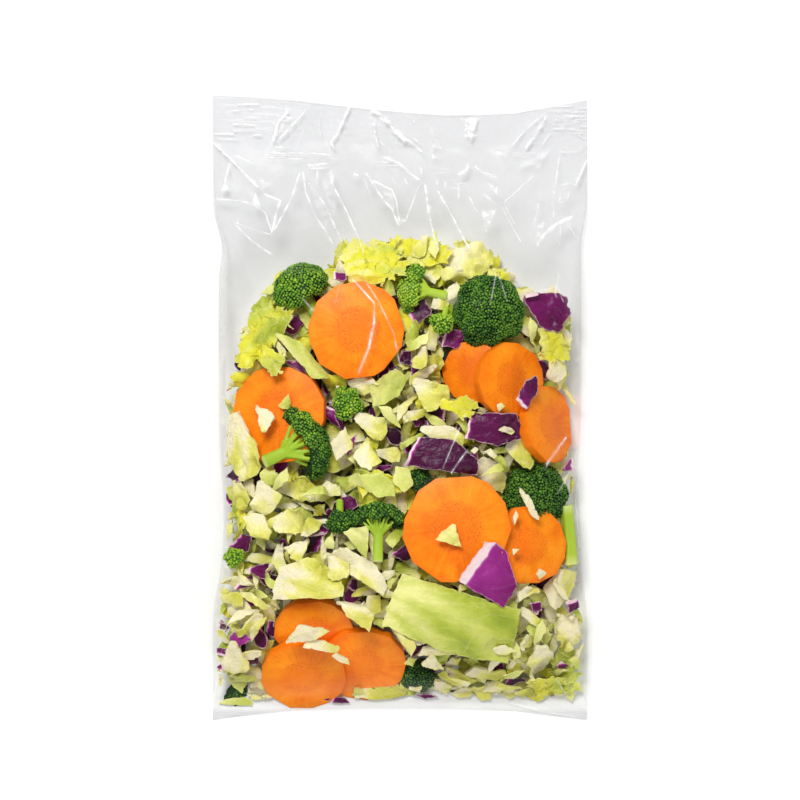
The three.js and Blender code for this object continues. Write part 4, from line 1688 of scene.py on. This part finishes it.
def leaf_material(name, stops, vein, rim, roughness, subsurface, crinkle, patch_share=0.55):
    """Leaf tissue. vein and rim are a colour and how strongly it shows; crinkle is in millimetres."""
    material, tree, shader = new_material(name)
    mottle = use_group(tree, mottle_group(), {"Patch scale": 85.0, "Grain scale": 900.0}).outputs
    veins = use_group(tree, vein_group(), {"Scale": 1.5, "Width": 0.04}).outputs["Mask"]
    swing = calculate(tree, "MULTIPLY_ADD", mottle["Patches"], patch_share, -0.5 * patch_share)
    shade = calculate(tree, "ADD", attribute(tree, "tone"), swing)
    colour = ramp(tree, shade, stops)
    colour = mix(tree, calculate(tree, "MULTIPLY", veins, vein[1]), colour, opaque(vein[0]))
    edge = remap(tree, attribute(tree, "rim"), 0.62, 0.85, 0.0, rim[1])
    colour = mix(tree, edge, colour, opaque(rim[0]))
    relief = calculate(tree, "MULTIPLY_ADD", mottle["Grain"], 0.05, calculate(tree, "MULTIPLY", veins, 0.1))
    leaf = add_node(tree, "UVMap", uv_map="leaf").outputs[0]
    creased = add_node(tree, "TexNoise", {"Vector": leaf, "Scale": 7.0, "Detail": 2, "Distortion": 0.8})
    relief = calculate(tree, "MULTIPLY_ADD", creased.outputs["Fac"], crinkle, relief)
    bump = add_node(tree, "Bump", {"Height": relief, "Strength": 0.8, "Distance": 1 * MM})
    gloss = calculate(tree, "MULTIPLY_ADD", mottle["Patches"], 0.25, roughness - 0.12)
    values = {
        "Base Color": colour,
        "Roughness": gloss,
        "Normal": bump.outputs[0],
        "Subsurface Weight": subsurface,
        "Subsurface Radius": (1.0, 1.0, 0.35),
        "Subsurface Scale": 2 * MM,
        "Specular IOR Level": 0.22,
    }
    set_inputs(shader, values)
    return material


def cabbage_material():
    stops = [
        (0.0, (0.42, 0.41, 0.045)),
        (0.35, (0.60, 0.59, 0.085)),
        (0.6, (0.73, 0.70, 0.16)),
        (0.82, (0.84, 0.79, 0.36)),
        (1.0, (0.85, 0.78, 0.53)),
    ]
    return leaf_material("cabbage", stops, ((0.86, 0.80, 0.40), 0.3), ((0.84, 0.79, 0.36), 0.3), 0.36, 0.5, 1.0, 0.7)


def green_leaf_material():
    stops = [
        (0.0, (0.19, 0.27, 0.02)),
        (0.35, (0.44, 0.52, 0.06)),
        (0.65, (0.62, 0.66, 0.15)),
        (1.0, (0.80, 0.79, 0.30)),
    ]
    return leaf_material("green_leaf", stops, ((0.78, 0.80, 0.30), 0.2), ((0.80, 0.80, 0.32), 0.3), 0.36, 0.45, 0.7, 0.6)


def lettuce_material():
    stops = [
        (0.0, (0.30, 0.38, 0.02)),
        (0.3, (0.54, 0.60, 0.08)),
        (0.6, (0.76, 0.72, 0.05)),
        (0.8, (0.78, 0.73, 0.045)),
        (1.0, (0.82, 0.79, 0.22)),
    ]
    return leaf_material("lettuce", stops, ((0.86, 0.84, 0.35), 0.3), ((0.88, 0.86, 0.35), 0.4), 0.42, 0.35, 1.2)


def red_cabbage_material():
    stops = [
        (0.0, (0.022, 0.001, 0.013)),
        (0.24, (0.10, 0.004, 0.058)),
        (0.48, (0.19, 0.007, 0.12)),
        (0.7, (0.33, 0.025, 0.25)),
        (0.82, (0.47, 0.11, 0.41)),
        (1.0, (0.88, 0.68, 0.70)),
    ]
    return leaf_material(
        "red_cabbage", stops, ((0.42, 0.10, 0.36), 0.1), ((0.84, 0.62, 0.66), 0.5), 0.34, 0.08, 0.7, 0.4
    )


def carrot_material():
    """Carrot flesh: a core inside a ring of short dark marks, and faint rays out to the skin."""
    material, tree, shader = new_material("carrot")
    disc = add_node(tree, "UVMap", uv_map="disc").outputs[0]
    wander = add_node(tree, "TexNoise", {"Vector": disc, "Scale": 2.2, "Detail": 2})
    away = add_node(tree, "VectorMath", {0: disc}, operation="LENGTH").outputs["Value"]
    away = calculate(tree, "ADD", away, calculate(tree, "MULTIPLY_ADD", wander.outputs["Fac"], 0.16, -0.08))
    aim = add_node(tree, "VectorMath", {0: disc}, operation="NORMALIZE").outputs[0]
    rays = add_node(tree, "TexNoise", {"Vector": aim, "Scale": 9.0, "Detail": 3})
    specks = add_node(tree, "TexVoronoi", {"Vector": disc, "Scale": 19.0}, feature="F1")
    pores = add_node(tree, "TexVoronoi", {"Vector": disc, "Scale": 31.0}, feature="F1")
    near_core = calculate(
        tree, "MULTIPLY", remap(tree, away, 0.0, 0.3, 0.35, 1.0), remap(tree, away, 0.68, 0.4)
    )
    dots = remap(tree, specks.outputs["Distance"], 0.45, 0.15)
    dots = calculate(tree, "MAXIMUM", dots, remap(tree, pores.outputs["Distance"], 0.35, 0.1, 0.0, 0.7))
    marks = calculate(tree, "MULTIPLY", dots, near_core)
    mottle = use_group(tree, mottle_group(), {"Patch scale": 70.0, "Grain scale": 700.0}).outputs
    core = remap(tree, away, 0.56, 0.4)
    flesh = ramp(
        tree,
        calculate(tree, "MULTIPLY_ADD", mottle["Patches"], 1.3, calculate(tree, "MULTIPLY_ADD", rays.outputs["Fac"], 0.5, -0.35)),
        [(0.25, (0.82, 0.145, 0.002)), (0.55, (0.96, 0.255, 0.004)), (0.85, (0.98, 0.33, 0.01))],
    )
    fleck = remap(tree, mottle["Grain"], 0.52, 0.72, 0.0, 0.35)
    flesh = mix(tree, fleck, flesh, opaque((0.74, 0.13, 0.004)))
    colour = mix(tree, calculate(tree, "MULTIPLY", core, 0.6), flesh, opaque((0.86, 0.18, 0.005)))
    colour = mix(tree, calculate(tree, "MULTIPLY", marks, 0.65), colour, opaque((0.60, 0.095, 0.004)))
    skin = remap(tree, away, 0.86, 1.0)
    colour = mix(tree, calculate(tree, "MULTIPLY", skin, 0.6), colour, opaque((0.92, 0.19, 0.006)))
    relief = calculate(tree, "MULTIPLY_ADD", mottle["Grain"], 0.5, calculate(tree, "MULTIPLY", marks, -0.6))
    bump = add_node(tree, "Bump", {"Height": relief, "Strength": 0.35, "Distance": 0.25 * MM})
    values = {
        "Base Color": colour,
        "Roughness": calculate(tree, "MULTIPLY_ADD", mottle["Grain"], 0.3, 0.28),
        "Normal": bump.outputs[0],
        "Subsurface Weight": 0.2,
        "Subsurface Radius": (1.0, 0.35, 0.08),
        "Subsurface Scale": 2 * MM,
        "Specular IOR Level": 0.2,
    }
    set_inputs(shader, values)
    return material


def bud_material():
    material, tree, shader = new_material("broccoli_buds")
    mottle = use_group(tree, mottle_group(), {"Patch scale": 160.0, "Grain scale": 1400.0}).outputs
    shade = calculate(
        tree, "ADD", attribute(tree, "tone"), calculate(tree, "MULTIPLY_ADD", mottle["Patches"], 0.6, -0.3)
    )
    stops = [
        (0.0, (0.010, 0.038, 0.006)),
        (0.22, (0.032, 0.112, 0.017)),
        (0.5, (0.10, 0.24, 0.022)),
        (0.78, (0.22, 0.42, 0.025)),
        (1.0, (0.42, 0.60, 0.05)),
    ]
    bump = add_node(tree, "Bump", {"Height": mottle["Grain"], "Strength": 0.3, "Distance": 0.15 * MM})
    values = {
        "Base Color": ramp(tree, shade, stops),
        "Roughness": calculate(tree, "MULTIPLY_ADD", mottle["Grain"], 0.2, 0.42),
        "Normal": bump.outputs[0],
        "Specular IOR Level": 0.2,
    }
    set_inputs(shader, values)
    return material


def stalk_material():
    material, tree, shader = new_material("broccoli_stalks")
    mottle = use_group(tree, mottle_group(), {"Patch scale": 120.0, "Grain scale": 1000.0}).outputs
    shade = calculate(
        tree, "ADD", attribute(tree, "tone"), calculate(tree, "MULTIPLY_ADD", mottle["Patches"], 0.5, -0.25)
    )
    stops = [(0.0, (0.13, 0.24, 0.015)), (0.5, (0.34, 0.52, 0.03)), (1.0, (0.50, 0.66, 0.06))]
    colour = mix(tree, attribute(tree, "cut"), ramp(tree, shade, stops), opaque((0.66, 0.74, 0.24)))
    bump = add_node(tree, "Bump", {"Height": mottle["Grain"], "Strength": 0.35, "Distance": 0.2 * MM})
    values = {
        "Base Color": colour,
        "Roughness": calculate(tree, "MULTIPLY_ADD", mottle["Grain"], 0.25, 0.3),
        "Normal": bump.outputs[0],
        "Subsurface Weight": 0.12,
        "Subsurface Radius": (0.5, 1.0, 0.1),
        "Subsurface Scale": 1.5 * MM,
        "Specular IOR Level": 0.3,
    }
    set_inputs(shader, values)
    return material


def shaded_core_material():
    # The core's dark browns and purples are painted shade between the pieces.
    material, tree, shader = new_material("packed_core")
    mottle = use_group(tree, mottle_group(), {"Patch scale": 130.0, "Grain scale": 700.0}).outputs
    stops = [(0.35, (0.020, 0.004, 0.012)), (0.5, (0.065, 0.045, 0.012)), (0.65, (0.14, 0.12, 0.03))]
    bump = add_node(tree, "Bump", {"Height": mottle["Grain"], "Strength": 0.8, "Distance": 1 * MM})
    values = {
        "Base Color": ramp(tree, mottle["Patches"], stops),
        "Roughness": calculate(tree, "MULTIPLY_ADD", mottle["Grain"], 0.3, 0.45),
        "Normal": bump.outputs[0],
    }
    set_inputs(shader, values)
    return material


def film_material():
    """Clear film: see-through, glossy at a slant, greyer where it hangs loose, greyer along the bottom seal as a
    painted shadow, and white on creases and facets as painted highlights.
    """
    settings = bpy.context.scene.vegetable_bag
    material, tree, shader = new_material("clear_film")
    place = add_node(tree, "TexCoord").outputs["Object"]
    ripple = add_node(tree, "TexNoise", {"Vector": place, "Scale": 45.0, "Detail": 3, "Roughness": 0.5})
    relief = add_node(
        tree, "Bump", {"Height": ripple.outputs["Fac"], "Strength": 0.25, "Distance": 1.5 * MM}
    )
    slant = add_node(tree, "Fresnel", {"IOR": 1.5, "Normal": relief.outputs[0]}).outputs[0]
    gloss = calculate(tree, "MULTIPLY", calculate(tree, "SUBTRACT", slant, 0.037, clamp=True), 0.2)
    # The loose attribute also greys the band along the bottom seal, where the grey is a painted shadow.
    loose = attribute(tree, "loose")
    # The white of the creases and facets is a painted highlight, made uneven by a noise.
    crumple = add_node(tree, "TexNoise", {"Vector": place, "Scale": 240.0, "Detail": 2})
    uneven = remap(tree, crumple.outputs["Fac"], 0.38, 0.62, 0.3, settings.crease_glint_brightness)
    marks = calculate(tree, "MULTIPLY", attribute(tree, "crease"), uneven)
    cloud = calculate(tree, "MULTIPLY", loose, remap(tree, ripple.outputs["Fac"], 0.35, 0.7, 0.02, 0.11))
    milky_and_glints = calculate(tree, "MAXIMUM", marks, cloud)
    values = {
        "Base Color": opaque((0.97, 0.97, 0.975)),
        "Metallic": remap(tree, milky_and_glints, 0.0, 0.01, 1.0, 0.0),
        "Roughness": settings.film_roughness,
        "Normal": relief.outputs[0],
    }
    set_inputs(shader, values)
    tight, slack = settings.film_clarity, settings.loose_film_clarity
    tint = mix(tree, loose, opaque((tight,) * 3), opaque((slack, slack, slack * 1.003)))
    clear = add_node(tree, "BsdfTransparent", {"Color": tint})
    seen = calculate(tree, "ADD", milky_and_glints, gloss, clamp=True)
    both = add_node(tree, "MixShader", {0: seen, 1: clear.outputs[0], 2: shader.outputs[0]})
    tree.links.new(both.outputs[0], tree.nodes["Material Output"].inputs["Surface"])
    return material


def floor_material():
    material, tree, shader = new_material("pale_floor")
    place = add_node(tree, "TexCoord").outputs["Object"]
    grain = add_node(tree, "TexNoise", {"Vector": place, "Scale": 30.0, "Detail": 2})
    shade = remap(tree, grain.outputs["Fac"], 0.3, 0.7)
    values = {
        "Base Color": mix(tree, shade, opaque((0.885, 0.887, 0.89)), opaque((0.895, 0.897, 0.90))),
        "Roughness": 0.7,
        "Specular IOR Level": 0.1,
    }
    set_inputs(shader, values)
    return material


# ---------------------------------------------------------------------------------------------
# Settings
# ---------------------------------------------------------------------------------------------


def length_setting(name, description, default):
    return bpy.props.FloatProperty(
        name=name, description=description, default=default, min=0, subtype="DISTANCE", unit="LENGTH"
    )


class VegetableBagSettings(bpy.types.PropertyGroup):
    """Sizes and finishes of the bag and its filling"""

    carrot_thickness: length_setting("Carrot slice", "Thickness of a carrot slice", 5.2 * MM)
    cabbage_thickness: length_setting("Cabbage", "Greatest thickness of a cabbage piece", 1.7 * MM)
    leaf_thickness: length_setting("Green leaf", "Greatest thickness of a green leaf piece", 0.9 * MM)
    lettuce_thickness: length_setting("Lettuce", "Greatest thickness of a frilled lettuce piece", 0.7 * MM)
    red_cabbage_thickness: length_setting("Red cabbage", "Greatest thickness of a red cabbage piece", 1.7 * MM)
    film_clarity: bpy.props.FloatProperty(
        name="Film clarity", description="Light that one layer of film lets through", default=0.985, min=0, max=1
    )
    # This also greys the band along the bottom seal, as a painted shadow.
    loose_film_clarity: bpy.props.FloatProperty(
        name="Loose film clarity",
        description="Light that one layer of the film's empty upper part lets through",
        default=0.915,
        min=0,
        max=1,
    )
    film_roughness: bpy.props.FloatProperty(
        name="Film roughness", description="Roughness of the film's gloss", default=0.12, min=0, max=1
    )
    # The creases' white is a painted highlight where a real crease would mirror the lights.
    crease_glint_brightness: bpy.props.FloatProperty(
        name="Crease glint", description="How white the film's creases are", default=0.95, min=0, max=1
    )


class StageSettings(bpy.types.PropertyGroup):
    """Light and camera around the bag"""

    key_power: bpy.props.FloatProperty(
        name="Key light", description="Power of the large overhead light", default=37, min=0, unit="POWER"
    )
    side_power: bpy.props.FloatProperty(
        name="Side light", description="Power of the weaker light from the near side", default=8, min=0, unit="POWER"
    )
    sky: bpy.props.FloatProperty(
        name="Room light", description="Strength of the even light all round", default=0.4, min=0
    )
    lens: bpy.props.FloatProperty(name="Lens", description="Focal length in millimetres", default=120, min=20)


# ---------------------------------------------------------------------------------------------
# Operators
# ---------------------------------------------------------------------------------------------


def placed(kind):
    return packed_filling()[0][kind]


class VEGETABLEBAG_OT_carrots(bpy.types.Operator):
    """Add the round carrot slices"""

    bl_idname = "vegetable_bag.carrots"
    bl_label = "Carrot slices"

    def execute(self, context):
        piece = join_meshes(placed("carrot"), "carrot_slices")
        finished_piece(piece, "carrot_slices", carrot_material(), 35)
        return {"FINISHED"}


class VEGETABLEBAG_OT_buds(bpy.types.Operator):
    """Add the buds of every broccoli crown"""

    bl_idname = "vegetable_bag.buds"
    bl_label = "Broccoli buds"

    def execute(self, context):
        piece = join_meshes(placed("buds"), "broccoli_buds")
        finished_piece(piece, "broccoli_buds", bud_material(), 180)
        return {"FINISHED"}


class VEGETABLEBAG_OT_stalks(bpy.types.Operator):
    """Add the broccoli trunks, branches and loose stalks"""

    bl_idname = "vegetable_bag.stalks"
    bl_label = "Broccoli stalks"

    def execute(self, context):
        piece = join_meshes(placed("stalk"), "broccoli_stalks")
        finished_piece(piece, "broccoli_stalks", stalk_material(), 60)
        return {"FINISHED"}


class VEGETABLEBAG_OT_cabbage(bpy.types.Operator):
    """Add the pale cabbage pieces and their thick white ribs"""

    bl_idname = "vegetable_bag.cabbage"
    bl_label = "Cabbage"

    def execute(self, context):
        sheet_piece("cabbage", "cabbage_pieces", cabbage_material())
        return {"FINISHED"}


class VEGETABLEBAG_OT_leaves(bpy.types.Operator):
    """Add the soft green leaf pieces"""

    bl_idname = "vegetable_bag.leaves"
    bl_label = "Green leaves"

    def execute(self, context):
        sheet_piece("leaf", "leaf_pieces", green_leaf_material())
        return {"FINISHED"}


class VEGETABLEBAG_OT_lettuce(bpy.types.Operator):
    """Add the frilled yellow lettuce"""

    bl_idname = "vegetable_bag.lettuce"
    bl_label = "Lettuce"

    def execute(self, context):
        sheet_piece("lettuce", "lettuce_pieces", lettuce_material())
        return {"FINISHED"}


class VEGETABLEBAG_OT_red_cabbage(bpy.types.Operator):
    """Add the red cabbage pieces with their white cut edges"""

    bl_idname = "vegetable_bag.red_cabbage"
    bl_label = "Red cabbage"

    def execute(self, context):
        sheet_piece("red_cabbage", "red_cabbage_pieces", red_cabbage_material())
        return {"FINISHED"}


class VEGETABLEBAG_OT_core(bpy.types.Operator):
    """Add the filling under the pieces, coloured dark as painted shade"""

    bl_idname = "vegetable_bag.core"
    bl_label = "Packed core"

    def execute(self, context):
        finished_piece(core_piece(), "packed_core", shaded_core_material(), 180)
        return {"FINISHED"}


class VEGETABLEBAG_OT_film(bpy.types.Operator):
    """Add the clear film, which stands for the bag's solid"""

    bl_idname = "vegetable_bag.film"
    bl_label = "Clear film"

    def execute(self, context):
        piece = finished_piece(film_piece(), "film", film_material(), 180)
        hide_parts(BAG_NODE)
        return {"FINISHED"}


class VEGETABLEBAG_OT_stage(bpy.types.Operator):
    """Add the floor, the lights and the camera"""

    bl_idname = "vegetable_bag.stage"
    bl_label = "Stage"

    def execute(self, context):
        build_stage(context.scene.vegetable_bag_stage)
        return {"FINISHED"}


FLOOR_SIZE = 6.0
VIEW_WIDTH = 379.7 * MM  # width of what the camera sees at the middle of the filling
VIEW_MIDDLE_Y = 3.8 * MM
SENSOR = 36


def add_light(name, place, size, power):
    data = bpy.data.lights.new(name, "AREA")
    data.shape = "RECTANGLE"
    data.size, data.size_y = size
    data.energy = power
    light = bpy.data.objects.new(name, data)
    light.location = place
    aim = Vector((0, 0, 0.02)) - Vector(place)
    light.rotation_euler = aim.to_track_quat("-Z", "Y").to_euler()
    bpy.context.scene.collection.objects.link(light)


def build_stage(settings):
    deselect_all()
    bpy.ops.mesh.primitive_plane_add(size=FLOOR_SIZE)
    floor = bpy.context.object
    floor.name = "floor"
    bpy.ops.object.mode_set(mode="EDIT")
    bpy.ops.transform.translate(value=(0, 0, -0.05 * MM))
    end_edit()
    floor.data.materials.append(floor_material())
    world = bpy.data.worlds.new("room")
    world.use_nodes = True
    world.node_tree.nodes["Background"].inputs["Color"].default_value = (1, 1, 1, 1)
    world.node_tree.nodes["Background"].inputs["Strength"].default_value = settings.sky
    bpy.context.scene.world = world
    add_light("key", (-0.4, 1.0, 1.75), (0.8, 0.6), settings.key_power)
    add_light("side", (0.6, -1.2, 0.9), (1.6, 0.5), settings.side_power)
    middle = (BAG_LOW.z + BAG_HIGH.z) * 0.35
    camera_data = bpy.data.cameras.new("camera")
    camera_data.lens = settings.lens
    camera_data.sensor_width = SENSOR
    camera = bpy.data.objects.new("camera", camera_data)
    camera.location = (0, VIEW_MIDDLE_Y, middle + VIEW_WIDTH * settings.lens / SENSOR)
    bpy.context.scene.collection.objects.link(camera)
    bpy.context.scene.camera = camera
    bpy.context.scene.view_settings.view_transform = "Standard"


class VEGETABLEBAG_PT_panel(bpy.types.Panel):
    """The bag's pieces and settings"""

    bl_label = "Vegetable bag"
    bl_idname = "VEGETABLEBAG_PT_panel"
    bl_space_type = "VIEW_3D"
    bl_region_type = "UI"
    bl_category = "Vegetable bag"

    def draw(self, context):
        layout = self.layout
        for operator in OPERATORS:
            layout.operator(operator.bl_idname)
        for settings in (context.scene.vegetable_bag, context.scene.vegetable_bag_stage):
            for name in settings.__annotations__:
                layout.prop(settings, name)


OPERATORS = (
    VEGETABLEBAG_OT_carrots,
    VEGETABLEBAG_OT_buds,
    VEGETABLEBAG_OT_stalks,
    VEGETABLEBAG_OT_cabbage,
    VEGETABLEBAG_OT_leaves,
    VEGETABLEBAG_OT_lettuce,
    VEGETABLEBAG_OT_red_cabbage,
    VEGETABLEBAG_OT_core,
    VEGETABLEBAG_OT_film,
    VEGETABLEBAG_OT_stage,
)
CLASSES = (VegetableBagSettings, StageSettings, *OPERATORS, VEGETABLEBAG_PT_panel)


def register():
    for kind in CLASSES:
        bpy.utils.register_class(kind)
    bpy.types.Scene.vegetable_bag = bpy.props.PointerProperty(type=VegetableBagSettings)
    bpy.types.Scene.vegetable_bag_stage = bpy.props.PointerProperty(type=StageSettings)


def unregister():
    del bpy.types.Scene.vegetable_bag_stage
    del bpy.types.Scene.vegetable_bag
    for kind in reversed(CLASSES):
        bpy.utils.unregister_class(kind)


def main():
    register()
    for operator in OPERATORS:
        group, name = operator.bl_idname.split(".")
        getattr(getattr(bpy.ops, group), name)()


if __name__ == "__main__":
    main()
